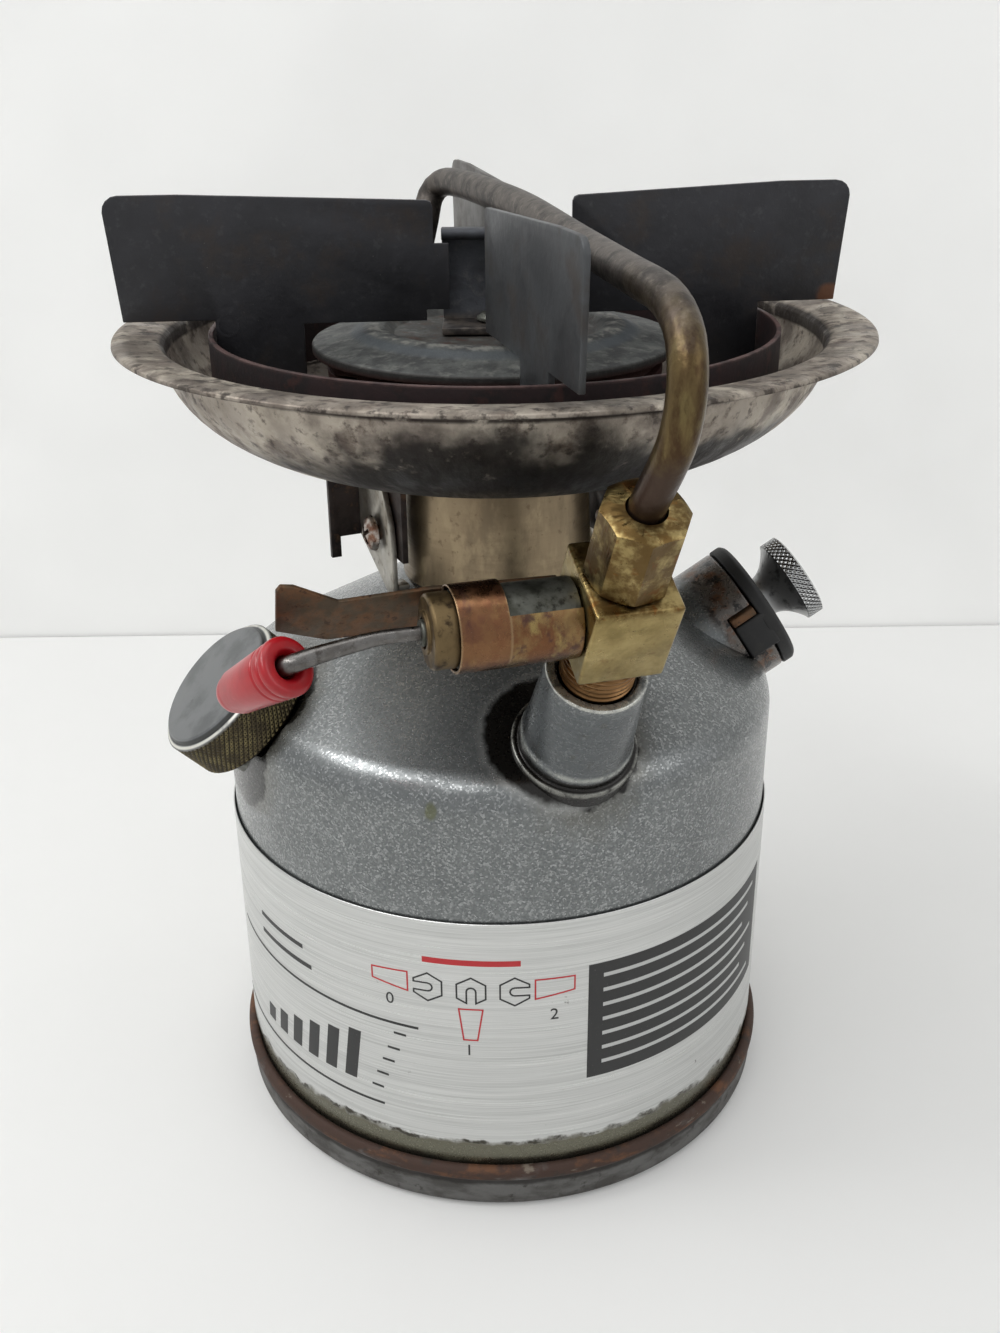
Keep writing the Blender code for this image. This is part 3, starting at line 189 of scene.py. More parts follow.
def colour(code):
    """An sRGB hex colour as linear red, green, blue and alpha."""
    shares = [int(code[i:i + 2], 16) / 255 for i in (0, 2, 4)]
    return (*[s / 12.92 if s <= 0.04045 else ((s + 0.055) / 1.055) ** 2.4 for s in shares], 1.0)


def add_node(tree, kind, inputs=None, output=0, **settings):
    """Add one node with its settings, link or set its inputs, and give one of its outputs."""
    made = tree.nodes.new("ShaderNode" + kind)
    for name, value in settings.items():
        setattr(made, name, value)
    for name, value in (inputs or {}).items():
        if isinstance(value, bpy.types.NodeSocket):
            tree.links.new(value, made.inputs[name])
        else:
            made.inputs[name].default_value = value
    return made.outputs[output]


class Finish:
    """A finish while it is made: its nodes, the place that its patterns follow, and its colour so far."""

    def __init__(self, name, roughness, metallic, base):
        self.material = bpy.data.materials.new(name)
        self.material.use_nodes = True
        self.tree = self.material.node_tree
        self.shader = self.tree.nodes["Principled BSDF"]
        self.shader.inputs["Roughness"].default_value = roughness
        self.shader.inputs["Metallic"].default_value = metallic
        metres = {0: add_node(self.tree, "TexCoord", output="Object"), "Scale": 1.0 / mm}
        self.place = add_node(self.tree, "VectorMath", metres, operation="SCALE")
        self.tone = base

    @functools.cached_property
    def depth(self):
        return add_node(self.tree, "SeparateXYZ", {0: self.place}, "Y")

    @functools.cached_property
    def height(self):
        return add_node(self.tree, "SeparateXYZ", {0: self.place}, "Z")

    def shared(self, *masks):
        """One mask, which is as strong as all the given ones together leave it."""
        cover = masks[0]
        for mask in masks[1:]:
            cover = add_node(self.tree, "Math", {0: cover, 1: mask}, operation="MULTIPLY")
        return cover

    def patches(self, size, low, high, stretch=(1.0, 1.0, 1.0), detail=5.0, place=None):
        """A mask of soft patches about one size across, drawn out where a stretch is below 1."""
        where = {"Vector": place or self.place, "Scale": [share / size for share in stretch]}
        spread = add_node(self.tree, "Mapping", where)
        grain = {"Vector": spread, "Scale": 1.0, "Detail": detail, "Roughness": 0.62}
        pattern = add_node(self.tree, "TexNoise", grain, "Fac")
        limits = {"Value": pattern, "From Min": low, "From Max": high}
        return add_node(self.tree, "MapRange", limits, interpolation_type="SMOOTHSTEP")

    def band(self, value, low, high, soft):
        """A mask that is 1 where a value lies between two limits, one of which can be None."""
        ends = [(end - side, end + side) for end, side in ((low, soft), (high, -soft)) if end is not None]
        return self.shared(*[add_node(self.tree, "MapRange", {"Value": value, "From Min": start,
                                                             "From Max": stop}) for start, stop in ends])

    def ragged(self, value, size, reach, place=None):
        """A value moved up by a noise of at most one reach, so that its limits get torn edges."""
        grain = {"Vector": place or self.place, "Scale": 1.0 / size, "Detail": 5.0}
        moved = {0: add_node(self.tree, "TexNoise", grain, "Fac"), 1: reach, 2: value}
        return add_node(self.tree, "Math", moved, operation="MULTIPLY_ADD")

    def smudge(self, centre, reach, torn=0.7, size=3.0):
        """A mask round a point, as far as three reaches, with a torn edge."""
        shifted = {"Vector": self.place, "Location": centre, "Scale": reach}
        moved = add_node(self.tree, "Mapping", shifted, vector_type="TEXTURE")
        far = add_node(self.tree, "VectorMath", {0: moved}, "Value", operation="LENGTH")
        limits = {"Value": self.ragged(far, size, torn), "From Min": 1.0 + torn / 2,
                  "From Max": 0.6 + torn / 2}
        return add_node(self.tree, "MapRange", limits, interpolation_type="SMOOTHSTEP")

    def about(self, carrier):
        """A carrier's own coordinates, and each point's distance from its axis and height along it."""
        turn = {"Vector": self.place, "Location": carrier.translation / mm, "Rotation": carrier.to_euler()}
        local = add_node(self.tree, "Mapping", turn, vector_type="TEXTURE")
        flat = add_node(self.tree, "VectorMath", {0: local, 1: (1.0, 1.0, 0.0)}, operation="MULTIPLY")
        radius = add_node(self.tree, "VectorMath", {0: flat}, "Value", operation="LENGTH")
        return local, radius, add_node(self.tree, "SeparateXYZ", {0: local}, "Z")

    def wrapped(self, radius):
        """Coordinates that follow a round side, so that its patches run out level, not to the middle."""
        flat = add_node(self.tree, "VectorMath", {0: self.place, 1: (1.0, 1.0, 0.0)}, operation="MULTIPLY")
        outwards = add_node(self.tree, "VectorMath", {0: flat}, operation="NORMALIZE")
        girth = add_node(self.tree, "VectorMath", {0: outwards, "Scale": radius}, operation="SCALE")
        lift = add_node(self.tree, "CombineXYZ", {"Z": self.height})
        return add_node(self.tree, "VectorMath", {0: girth, 1: lift}, operation="ADD")

    def laid(self, under, over, *masks):
        """One colour laid over another where every mask is 1."""
        under, over = [colour(code) if isinstance(code, str) else code for code in (under, over)]
        return add_node(self.tree, "Mix", {0: self.shared(*masks), 6: under, 7: over}, 2, data_type="RGBA")

    def lay(self, over, *masks):
        """Lay a colour over the finish where every mask is 1."""
        self.tone = self.laid(self.tone, over, *masks)

    def stain(self, over, size, low, high, *masks, **grain):
        """Lay a colour over the finish in patches, where every mask is 1."""
        self.lay(over, self.patches(size, low, high, **grain), *masks)

    def done(self, gloss=None, relief=None):
        """Join the colour, a range of roughness and a relief to the shader, and give the material."""
        self.tree.links.new(self.tone, self.shader.inputs["Base Color"])
        if gloss:
            mask, smooth, coarse = gloss
            spread = add_node(self.tree, "MapRange", {"Value": mask, "To Min": smooth, "To Max": coarse})
            self.tree.links.new(spread, self.shader.inputs["Roughness"])
        if relief:
            height, depth = relief
            bump = add_node(self.tree, "Bump", {"Height": height, "Distance": depth * mm})
            self.tree.links.new(bump, self.shader.inputs["Normal"])
        return self.material


@functools.cache
def enamel(where):
    """Enamel with aluminium flake, sprayed and baked: a grey that glitters in grains."""
    look = Finish("flake_enamel_" + where, 0.34, 0.75, colours().enamel)
    look.shader.inputs["Coat Weight"].default_value = 0.4
    look.shader.inputs["Coat Roughness"].default_value = 0.2
    # Real flake is finer than the render can show, so each grain is drawn a third of a millimetre across
    flake = add_node(look.tree, "TexVoronoi", {"Vector": look.place, "Scale": 1.0 / 0.3}, "Color")
    glint = add_node(look.tree, "SeparateColor", {0: flake})
    bright = look.band(glint, 0.81, None, 0.19)
    look.stain("6e7171", 14.0, 0.38, 0.66)
    look.lay("b6b8b8", bright, 0.55)
    look.lay("54585a", look.band(glint, None, 0.2, 0.2), 0.5)
    {"tank": tank_grime_and_shade, "boss": boss_wear_and_shade, "pump": pump_dirt}[where](look)
    return look.done((bright, 0.34, 0.2), (glint, 0.005))


def tank_grime_and_shade(look):
    """Grime and painted shade round the fittings, a painted highlight by the boss, and an olive band along
    the bottom.
    """
    for carrier, inner, reach in ((valve_frame, 9.0, 10.4), (filler_frame, 11.0, 14.6),
                                  (pump_frame, 11.0, 13.4)):
        radius, height = look.about(carrier)[1:]
        torn = look.ragged(radius, 2.6, 4.5)
        outside = look.band(height, -9.0, 4.0, 0.5)
        look.lay("5d5a50", look.band(torn, inner, reach + 4.4, 1.6), outside, 0.5)
        # Inside that, a near-black ring round each fitting: partly grime, partly painted shade
        look.lay("14120f", look.band(torn, inner, reach + 2.25, 0.35), outside)
    # Beside the boss the hollow is near black, partly grime and partly painted shade, with a pale rim round
    # it that is a painted highlight
    aside = Matrix.Translation((-2.0 * mm, -2.8 * mm, 0.0))
    radius, height = look.about(valve_frame @ aside)[1:]
    torn = look.ragged(radius, 2.0, 1.6)
    outside = look.band(height, -9.0, 4.0, 0.5)
    look.lay("a5a6a4", look.band(torn, 12.3, 13.4, 0.5), outside, 0.5)
    look.lay("1a1815", look.band(torn, 0.0, 12.3, 0.5), outside)
    look.lay("5f6247", look.smudge((-11.2, -49.4, 81.0), (1.3, 1.3, 1.9)), 0.8)
    torn = look.ragged(look.height, 6.0, 3.0)
    look.lay("6d6b5b", look.band(torn, None, 15.3, 0.5))
    look.lay("35322c", look.band(torn, 9.4, 11.6, 0.4), 0.8)


def boss_wear_and_shade(look):
    """Bare metal on the boss's edges, and grime with painted shade in the corner above its flange."""
    local, radius, height = look.about(valve_frame)
    worn = look.patches(1.8, 0.3, 0.58)
    side = look.band(height, 2.0, 18.8, 2.0)
    look.lay("53575a", side, 0.7)
    look.stain("4f5354", 0.3, 0.3, 0.7, side, 0.6, stretch=(0.03, 0.03, 1.0), detail=3.0, place=local)
    look.stain("4d4a40", 2.5, 0.55, 0.72, 0.5)
    look.lay("aaaca6", look.band(height, 2.4, 3.2, 0.25), worn, 0.8)
    # Near black below the worn ring, in the corner above the flange: grime and painted shade
    look.lay("14110e", look.band(look.ragged(height, 1.4, 0.8), -9.0, 2.4, 0.3))
    look.lay("85857f", look.band(radius, 9.9, 10.6, 0.15), look.band(height, -0.3, 0.9, 0.3), worn, 0.9)
    look.lay("c8c8c0", look.band(height, 19.1, 21.0, 0.15), worn, 0.9)


def pump_dirt(look):
    """Brown rust on the lip of the pump's collar."""
    height = look.about(pump_frame)[2]
    look.lay("626667", look.band(height, -30.0, 2.0, 0.5), 0.7)
    rusty = look.band(look.ragged(height, 5.0, 5.0), -4.4, 9.0, 1.2)
    look.lay("58514b", rusty, 0.85)
    look.stain("5b3f2c", 3.0, 0.46, 0.62, rusty)
    look.stain("1a1817", 2.4, 0.52, 0.62, rusty)


@functools.cache
def base_paint():
    """Paint on pressed steel, worn and rusting: dull grey, and red-brown along its bead."""
    look = Finish("worn_base_paint", 0.5, 0.3, "6e6d6b")
    along = look.wrapped(base_radius)
    drawn = {"stretch": (0.4, 0.4, 1.0), "place": along}
    look.stain("504e4b", 4.0, 0.4, 0.62, **drawn)
    edge = look.ragged(look.height, 4.0, 1.6, along)
    bead = look.band(edge, 7.6, 12.0, 0.4)
    rust = look.patches(5.0, 0.26, 0.42, **drawn)
    look.lay("48362e", bead, rust)
    look.stain("6c4a34", 2.4, 0.52, 0.66, bead, 0.9, **drawn)
    look.stain("8a8072", 1.4, 0.62, 0.7, bead, 0.7, stretch=(0.3, 0.3, 1.0), place=along)
    look.lay("1f1a18", look.band(edge, 6.4, 7.7, 0.3), 0.8)
    look.stain("35322e", 4.0, 0.35, 0.6, look.band(look.height, None, 1.5, 1.1), place=along)
    look.stain("37332f", 2.0, 0.56, 0.7, 0.8, place=along)
    return look.done((rust, 0.42, 0.75), (look.patches(1.5, 0.3, 0.8), 0.06))


@functools.cache
def brushed_foil():
    """Aluminium foil, brushed along its length: pale, with fine level streaks and a dirty low edge."""
    look = Finish("brushed_aluminium_foil", 0.36, 0.75, colours().foil)
    along = look.wrapped(label_radius)
    fine = look.patches(0.22, 0.25, 0.75, (0.008, 0.008, 1.0), 3.0, along)
    look.lay("a4a5a3", fine, 0.6)
    look.stain("e4e4e2", 0.8, 0.35, 0.7, 0.35, stretch=(0.012, 0.012, 1.0), detail=3.0, place=along)
    look.stain("5d5b55", 3.0, 0.68, 0.74, look.patches(30.0, 0.45, 0.6), 0.8)
    torn = look.ragged(look.height, 4.0, 4.0)
    look.lay("6d6a5c", look.band(torn, None, label_foot + 2.8, 0.6))
    look.stain("45423a", 3.0, 0.4, 0.6, look.band(torn, label_foot + 2.4, label_foot + 3.3, 0.15))
    return look.done((fine, 0.26, 0.42), (fine, 0.01))


@functools.cache
def ink(name, code):
    """Screen-printed ink: flat and satin, rubbed a little thin."""
    look = Finish(name, 0.45, 0.0, code)
    look.stain("8d8b88", 0.5, 0.62, 0.8, 0.35)
    return look.done()


@functools.cache
def tarnished_brass():
    """Brass, milled and tarnished by heat: olive-gold faces with brown stains and dark speckles."""
    look = Finish("tarnished_brass", 0.36, 1.0, colours().brass)
    local, radius, height = look.about(valve_frame)
    look.stain("a99768", 5.0, 0.4, 0.65)
    look.stain("74653f", 4.0, 0.42, 0.68, 0.6)
    look.stain("6b4a2a", 2.6, 0.56, 0.74, 0.55)
    ledge = look.band(height, 40.2, 60.0, 0.6)
    look.stain("5a4527", 3.4, 0.36, 0.56, ledge, 0.9)
    look.stain("6e4a26", 2.2, 0.56, 0.68, ledge, 0.8)
    neck = look.band(height, 12.0, 25.9, 0.1)
    look.lay("7d5a3c", neck, 0.85)
    # The roots of the neck's thread are near black: painted shade
    look.lay("1f140c", neck, look.band(radius, None, 5.4, 0.1))
    look.stain("3a2c16", 0.7, 0.66, 0.72)
    scratches = look.patches(0.35, 0.4, 0.7, (1.0, 0.1, 0.1), 2.0, local)
    return look.done((look.patches(3.0, 0.35, 0.7), 0.26, 0.5), (scratches, 0.015))


@functools.cache
def heated_copper():
    """Copper sheet, rolled and heated: bronze and gold with purple patches, and a redder end band."""
    look = Finish("heat_tinted_copper", 0.32, 1.0, "826a48")
    local, height = look.about(lever_frame)[::2]
    drawn = {"stretch": (0.6, 0.6, 1.0), "place": local}
    look.stain("6e4c35", 5.0, 0.42, 0.58, **drawn)
    look.stain("9a8656", 4.0, 0.54, 0.64, 0.8, **drawn)
    look.stain("4d3835", 3.2, 0.52, 0.64, 0.85, place=local)
    look.lay("74503a", look.band(height, 17.2, 25.4, 0.4), 0.75)
    look.stain("4f3634", 4.0, 0.5, 0.66, 0.7, stretch=(0.5, 0.5, 1.0), place=local)
    # Thin pale lines along the sleeve's cut edges: painted highlights
    look.lay("a08a6a", look.band(height, 17.0, 17.3, 0.08), 0.45)
    look.lay("a08a6a", look.band(height, 24.0, 25.0, 0.1), 0.5)
    look.stain("c9b99c", 0.6, 0.7, 0.78, 0.8)
    return look.done((look.patches(2.0, 0.4, 0.7, place=local), 0.24, 0.44))


@functools.cache
def stained_steel(name, base, stain, deep, roughness=0.45, metallic=0.85, size=5.0):
    """Sheet or turned steel that weather, heat or soot stained in patches, with a fine speckle."""
    look = Finish(name, roughness, metallic, base)
    look.stain(stain, size, 0.4, 0.62)
    look.stain(deep, size * 0.5, 0.55, 0.7, 0.8)
    look.stain(deep, 0.6, 0.64, 0.7, 0.6)
    gloss = (look.patches(size * 0.7, 0.3, 0.7), roughness - 0.08, roughness + 0.15)
    return look.done(gloss, (look.patches(0.5, 0.2, 0.8), 0.015))


@functools.cache
def pan_steel():
    """Stainless sheet, drawn into a bowl and used over flame: mottled grey-brown, with soot in front."""
    look = Finish("sooted_pan_steel", 0.42, 0.8, "a0978c")
    along = look.wrapped(pan_radius)
    radius = look.about(tank_frame)[1]
    look.stain("c0b7a9", 16.0, 0.4, 0.6)
    look.stain("6d635c", 9.0, 0.46, 0.64, 0.8, detail=9.0)
    look.stain("5c4d45", 4.0, 0.5, 0.64, 0.65, detail=9.0)
    look.stain("3a3431", 2.0, 0.54, 0.68, 0.6, detail=9.0)
    top = look.band(look.height, pan_rim - 1.6, pan_rim + 5.0, 0.3)
    look.stain("6a625a", 6.0, 0.4, 0.62, top, 0.75, detail=9.0)
    look.stain("352f2c", 2.6, 0.52, 0.64, top, 0.8, detail=9.0)
    for centre, reach in (((2.0, -50.0, 128.0), (44.0, 30.0, 18.0)),
                          ((34.0, -40.0, 132.0), (24.0, 20.0, 9.0))):
        look.stain("2c2927", 3.0, 0.22, 0.42, look.smudge(centre, reach, 1.0, 7.0), 0.95, detail=9.0)
    # A dark line under the rim's lip: partly rust on the sheet's edge, partly painted shade
    lip_rust_and_shade = look.band(look.height, pan_rim - 3.4, pan_rim - 0.9, 0.2)
    look.stain("231c1a", 5.0, 0.26, 0.46, lip_rust_and_shade, 0.9, place=along)
    inside = look.band(radius, None, 50.0, 2.5)
    bowl = {"Value": radius, "From Min": 30.0, "From Max": 34.0, "To Min": pan_foot + 3.5,
            "To Max": pan_foot + 6.0}
    above = {0: look.height, 1: add_node(look.tree, "MapRange", bowl)}
    look.lay("2e2826", inside, add_node(look.tree, "Math", above, operation="GREATER_THAN"), 0.7)
    gloss = (look.patches(5.0, 0.35, 0.65, place=along), 0.4, 0.66)
    return look.done(gloss, (look.patches(1.2, 0.2, 0.8, place=along), 0.05))


@functools.cache
def ring_steel():
    """Mild steel oxidised by flame: dark red-brown, with a paler edge."""
    look = Finish("flame_oxidised_ring", 0.6, 0.4, "2e2021")
    look.stain("1f1a1b", 6.0, 0.4, 0.6)
    look.stain("492c28", 3.0, 0.52, 0.7, 0.6)
    edge = look.band(look.height, ring_top - 0.3, None, 0.2)
    look.stain("5f4946", 5.0, 0.34, 0.6, edge, 0.8)
    return look.done(relief=(look.patches(1.0, 0.2, 0.8), 0.03))


@functools.cache
def burner_steel():
    """Pressed burner steel, greyed by flame: matt, with a chalky ring, a brown middle and a dark edge."""
    look = Finish("flame_greyed_burner", 0.62, 0.45, "545654")
    radius = look.about(tank_frame)[1]
    look.stain("3b3c3c", 5.0, 0.4, 0.6, detail=9.0)
    look.stain("73746f", 2.0, 0.5, 0.66, 0.6, detail=9.0)
    look.stain("2e2d2c", 1.2, 0.58, 0.68, 0.7, detail=9.0)
    torn = look.ragged(radius, 1.5, 1.2)
    look.lay("474c50", look.band(torn, 22.8, 24.9, 0.5), 0.8)
    look.stain("85847e", 2.0, 0.44, 0.6, look.band(torn, 20.0, 22.4, 0.5), 0.8)
    middle = look.band(torn, None, 17.75, 1.75)
    look.stain("3d3833", 3.0, 0.38, 0.56, middle, 0.85, detail=8.0)
    look.stain("4a3026", 2.4, 0.52, 0.66, middle, 0.8)
    look.lay("2c2927", look.band(radius, 30.7, None, 0.1), 0.8)
    look.lay("3a1f1b", look.band(look.height, None, cap_foot + 0.45, 0.45))
    return look.done(relief=(look.patches(0.8, 0.2, 0.8), 0.05))


@functools.cache
def blackened_steel(name, base, stain):
    """Sheet steel blackened by heat and soot: near black, faintly mottled, with rust and pinhead specks."""
    look = Finish(name, 0.5, 0.35, base)
    look.stain(stain, 14.0, 0.35, 0.7)
    look.stain("48484a", 1.6, 0.52, 0.75, 0.35, detail=8.0)
    look.stain("3c322a", 9.0, 0.5, 0.68, 0.5, detail=8.0)
    look.lay("6a432a", look.smudge((58.5, 9.5, pan_rim + 2.0), (3.0, 3.0, 2.4)), 0.8)
    look.stain("8c8a85", 0.5, 0.72, 0.75, 0.6)
    return look.done((look.patches(9.0, 0.3, 0.7), 0.38, 0.6), (look.patches(7.0, 0.1, 0.9), 0.12))


@functools.cache
def fired_tube():
    """Drawn brass tube over a flame: sooted at the top, bronze at the bend and dark brown by its nut."""
    look = Finish("fired_brass_tube", 0.34, 0.8, "605033")
    drawn = {"stretch": (1.0, 1.0, 0.3), "detail": 8.0}
    look.stain("42301d", 3.0, 0.4, 0.62, **drawn)
    look.stain("716440", 2.0, 0.5, 0.68, 0.7, **drawn)
    look.stain("3a2716", 2.4, 0.48, 0.66, 0.75, stretch=(1.0, 1.0, 0.5), detail=8.0)
    soot = look.laid("5f5954", "403c39", look.patches(3.4, 0.4, 0.62, detail=9.0))
    soot = look.laid(soot, "7b746c", look.patches(1.4, 0.52, 0.68, detail=9.0), 0.55)
    torn = look.ragged(look.height, 6.0, 6.0)
    ends = {0: look.band(torn, arch_top - 5.0, None, 4.0), 1: look.band(look.depth, -57.0, None, 5.0)}
    sooty = add_node(look.tree, "Math", ends, operation="MAXIMUM")
    look.lay(soot, sooty)
    look.lay("43352c", look.band(torn, None, 146.0, 2.0), look.band(look.depth, None, -55.0, 5.0))
    return look.done((sooty, 0.3, 0.5), (look.patches(1.0, 0.2, 0.8), 0.03))


@functools.cache
def red_vinyl():
    """Vinyl, moulded over the rod: glossy red, with a few pale scuffs."""
    look = Finish("moulded_red_vinyl", 0.32, 0.0, colours().grip)
    look.shader.inputs["Coat Weight"].default_value = 0.2
    look.shader.inputs["Coat Roughness"].default_value = 0.15
    look.stain("970d19", 6.0, 0.4, 0.7)
    look.stain("d0505a", 0.7, 0.7, 0.78, 0.4)
    return look.done(relief=(look.patches(1.2, 0.2, 0.8), 0.01))


@functools.cache
def cap_casting():
    """Die-cast zinc: a dull scratched grey top, painted shade in its groove, a painted highlight on its
    ridge, and brown grime in the knurl.
    """
    look = Finish("die_cast_cap", 0.42, 0.75, "7c7e7f")
    local, radius, height = look.about(filler_frame)
    scratch = look.patches(1.2, 0.62, 0.68, (0.15, 1.0, 1.0), place=local)
    look.stain("686a6b", 7.0, 0.4, 0.64, place=local)
    look.lay("4f5152", scratch, 0.6)
    side = look.band(height, None, 7.9, 0.3)
    knurl = look.laid("857a56", "2b261d", look.band(radius, None, 12.89, 0.09))
    look.lay(look.laid(knurl, "40382c", look.patches(3.0, 0.38, 0.6), 0.8), side)
    # A dark line in the groove round the top: painted shade
    look.lay("3a3a39", look.band(radius, 11.7, 12.2, 0.1), 0.8)
    # The narrow ridge over the knurl is pale: a painted highlight
    ridge_highlight = look.shared(look.band(radius, 12.35, 12.8, 0.1), look.band(height, 8.0, 8.6, 0.1))
    look.stain("e4e2da", 6.0, 0.3, 0.5, ridge_highlight)
    return look.done((side, 0.38, 0.5), (scratch, 0.02))


@functools.cache
def black_nylon():
    """Glass-filled nylon, moulded: black and satin, with brown dust in its corners."""
    look = Finish("moulded_black_nylon", 0.6, 0.0, "131314")
    look.stain("201f1e", 3.0, 0.45, 0.7)
    look.stain("40352c", 1.6, 0.64, 0.74, 0.5)
    return look.done(relief=(look.patches(0.5, 0.2, 0.8), 0.02))


@functools.cache
def rest_steel(foot):
    """Sheet steel in the flame's way: blackened above, and brown and crusted at its foot."""
    look = Finish("blackened_rest", 0.5, 0.5, "414348")
    look.stain("333438", 6.0, 0.4, 0.62, detail=8.0)
    look.stain("5c5b5a", 2.0, 0.54, 0.7, 0.5, detail=9.0)
    crust = look.laid("524b45", "2c2826", look.patches(2.4, 0.42, 0.6, detail=9.0))
    look.lay(crust, look.band(look.ragged(look.height, 3.0, 2.0), None, foot + 2.8, 0.6))
    return look.done(relief=(look.patches(1.0, 0.2, 0.8), 0.04))


@functools.cache
def yellowed_column():
    """Steel tube, spun and yellowed by heat: satin, with soft upright bands and dark specks."""
    look = Finish("heat_yellowed_column", 0.38, 0.8, "948369")
    look.stain("7f705a", 8.0, 0.42, 0.62, stretch=(1.0, 1.0, 0.3), detail=9.0)
    look.stain("a69577", 3.0, 0.48, 0.66, 0.6, stretch=(1.0, 1.0, 0.5), detail=9.0)
    look.stain("5d4a38", 1.4, 0.58, 0.7, 0.5, detail=9.0)
    look.stain("352518", 1.6, 0.72, 0.76, 0.8)
    # Darker towards the top, where the pan is over it: painted shade
    look.lay("6d5f4b", look.band(look.height, column_top - 2.5, None, 2.5), 0.6)
    return look.done((look.patches(0.4, 0.3, 0.7, (0.05, 0.05, 1.0), 2.0), 0.3, 0.46))


@functools.cache
def soft_seal(name, code):
    """Moulded rubber or cut leather: matt and dark, with a faint mottle."""
    look = Finish(name, 0.75, 0.0, code)
    look.stain("15130f", 2.0, 0.4, 0.7)
    return look.done()


@functools.cache
def knurled_knob():
    """Plated steel, turned and knurled: bright teeth over dark grooves, and a dim smooth neck."""
    look = Finish("plated_knurled_knob", 0.3, 1.0, "c6c7c7")
    radius, height = look.about(pump_frame)[1:]
    look.lay("1e1d1c", look.band(radius, None, 8.17, 0.09), look.band(height, 9.0, 12.0, 0.05))
    neck = look.band(height, None, 9.0, 0.4)
    look.lay("b6b6b6", neck, 0.9)
    look.stain("4b4a49", 2.4, 0.5, 0.66, neck, 0.7, detail=8.0)
    return look.done((neck, 0.24, 0.4))


def plated_steel():
    return stained_steel("nickel_plated_steel", "bdbebe", "9b9b9c", "79797b", 0.26, 1.0, 3.0)


def rusted_steel():
    return stained_steel("rusted_strip_steel", "524536", "6a4c34", "251c19", 0.5, 0.6, 3.0)


def sooty_steel():
    return stained_steel("sooty_turned_steel", "5f605a", "45463f", "2a2926", 0.46, 0.85, 3.0)


def rounded(points, reach, closed=False, steps=3):
    """The same outline, with each corner swapped for a short curve."""
    points = [Vector(point) for point in points]
    made = []
    for i, corner in enumerate(points):
        if not closed and i in (0, len(points) - 1):
            made.append(corner)
            continue
        back, onward = points[i - 1] - corner, points[(i + 1) % len(points)] - corner
        size = min(reach, back.length / 2.2, onward.length / 2.2)
        start, end = corner + back.normalized() * size, corner + onward.normalized() * size
        for k in range(steps + 1):
            t = k / steps
            made.append(start * (1 - t) ** 2 + corner * 2 * t * (1 - t) + end * t ** 2)
    return made


def arc(centre, radius, start, end, steps):
    """Points on a part of a circle, from one angle to another in degrees."""
    turns = [math.radians(start + (end - start) * i / steps) for i in range(steps + 1)]
    return [(centre[0] + radius * math.cos(turn), centre[1] + radius * math.sin(turn)) for turn in turns]


def lathe(profile, edge, carrier, steps):
    """A shape swept round the carrier's axis from corners of radius and height, rounded by an edge.

    The corners run from the axis back to the axis, or else round a closed outline off the axis.
    """
    closed = profile[0][0] > 0.0
    if edge:
        profile = rounded(profile, edge, closed)
    shape = bmesh.new()
    points = [shape.verts.new((point[0] * mm, 0.0, point[1] * mm)) for point in profile]
    ends = points[1:] + points[:1] if closed else points[1:]
    edges = [shape.edges.new(pair) for pair in zip(points, ends)]
    bmesh.ops.spin(shape, geom=points + edges, cent=(0.0, 0.0, 0.0), axis=(0.0, 0.0, 1.0),
                   angle=2 * math.pi, steps=steps, use_merge=True, use_duplicate=False)
    bmesh.ops.remove_doubles(shape, verts=shape.verts, dist=0.002 * mm)
    bmesh.ops.recalc_face_normals(shape, faces=shape.faces)
    bmesh.ops.transform(shape, matrix=carrier, verts=shape.verts)
    return shape


def hoop(outer, inner, low, high, edge, carrier, steps):
    """A round wall between two radii and two heights."""
    return lathe([(outer, high), (outer, low), (inner, low), (inner, high)], edge, carrier, steps)


def bevel(shape, edges, width, segments):
    """Round some edges of a shape."""
    bmesh.ops.bevel(shape, geom=edges, offset=width * mm, offset_type="OFFSET", segments=segments,
                    profile=0.5, affect="EDGES", clamp_overlap=True, material=-1)


def block(low, high, carrier, edge=0.0):
    """A block between two corners, with its edges rounded."""
    shape = bmesh.new()
    bmesh.ops.create_cube(shape, size=1.0)
    low, high = Vector(low) * mm, Vector(high) * mm
    bmesh.ops.scale(shape, vec=high - low, verts=shape.verts)
    bmesh.ops.translate(shape, vec=(low + high) / 2, verts=shape.verts)
    if edge:
        bevel(shape, shape.edges[:], edge, 3)
    bmesh.ops.transform(shape, matrix=carrier, verts=shape.verts)
    return shape


def copy_of(node):
    """A merged copy of a node's mesh with its sharp edges rounded."""
    shape = bmesh.new()
    shape.from_mesh(frame["nodes"][node].data)
    bmesh.ops.remove_doubles(shape, verts=shape.verts, dist=0.001 * mm)
    bmesh.ops.dissolve_limit(shape, angle_limit=math.radians(1.0), verts=shape.verts, edges=shape.edges)
    sharp = [edge for edge in shape.edges
             if len(edge.link_faces) == 2 and edge.calc_face_angle() > math.radians(30.0)]
    bevel(shape, sharp, 0.15, 2)
    return shape


def as_object(name, shape):
    mesh = bpy.data.meshes.new(name)
    shape.to_mesh(mesh)
    shape.free()
    piece = bpy.data.objects.new(name, mesh)
    bpy.context.scene.collection.objects.link(piece)
    return piece


def final_shape(piece):
    """The shape of an object with its modifiers applied. The object is removed."""
    bpy.context.view_layer.update()
    evaluated = piece.evaluated_get(bpy.context.evaluated_depsgraph_get())
    mesh = bpy.data.meshes.new_from_object(evaluated)
    shape = bmesh.new()
    shape.from_mesh(mesh)
    bpy.data.objects.remove(piece, do_unlink=True)
    bpy.data.meshes.remove(mesh)
    return shape


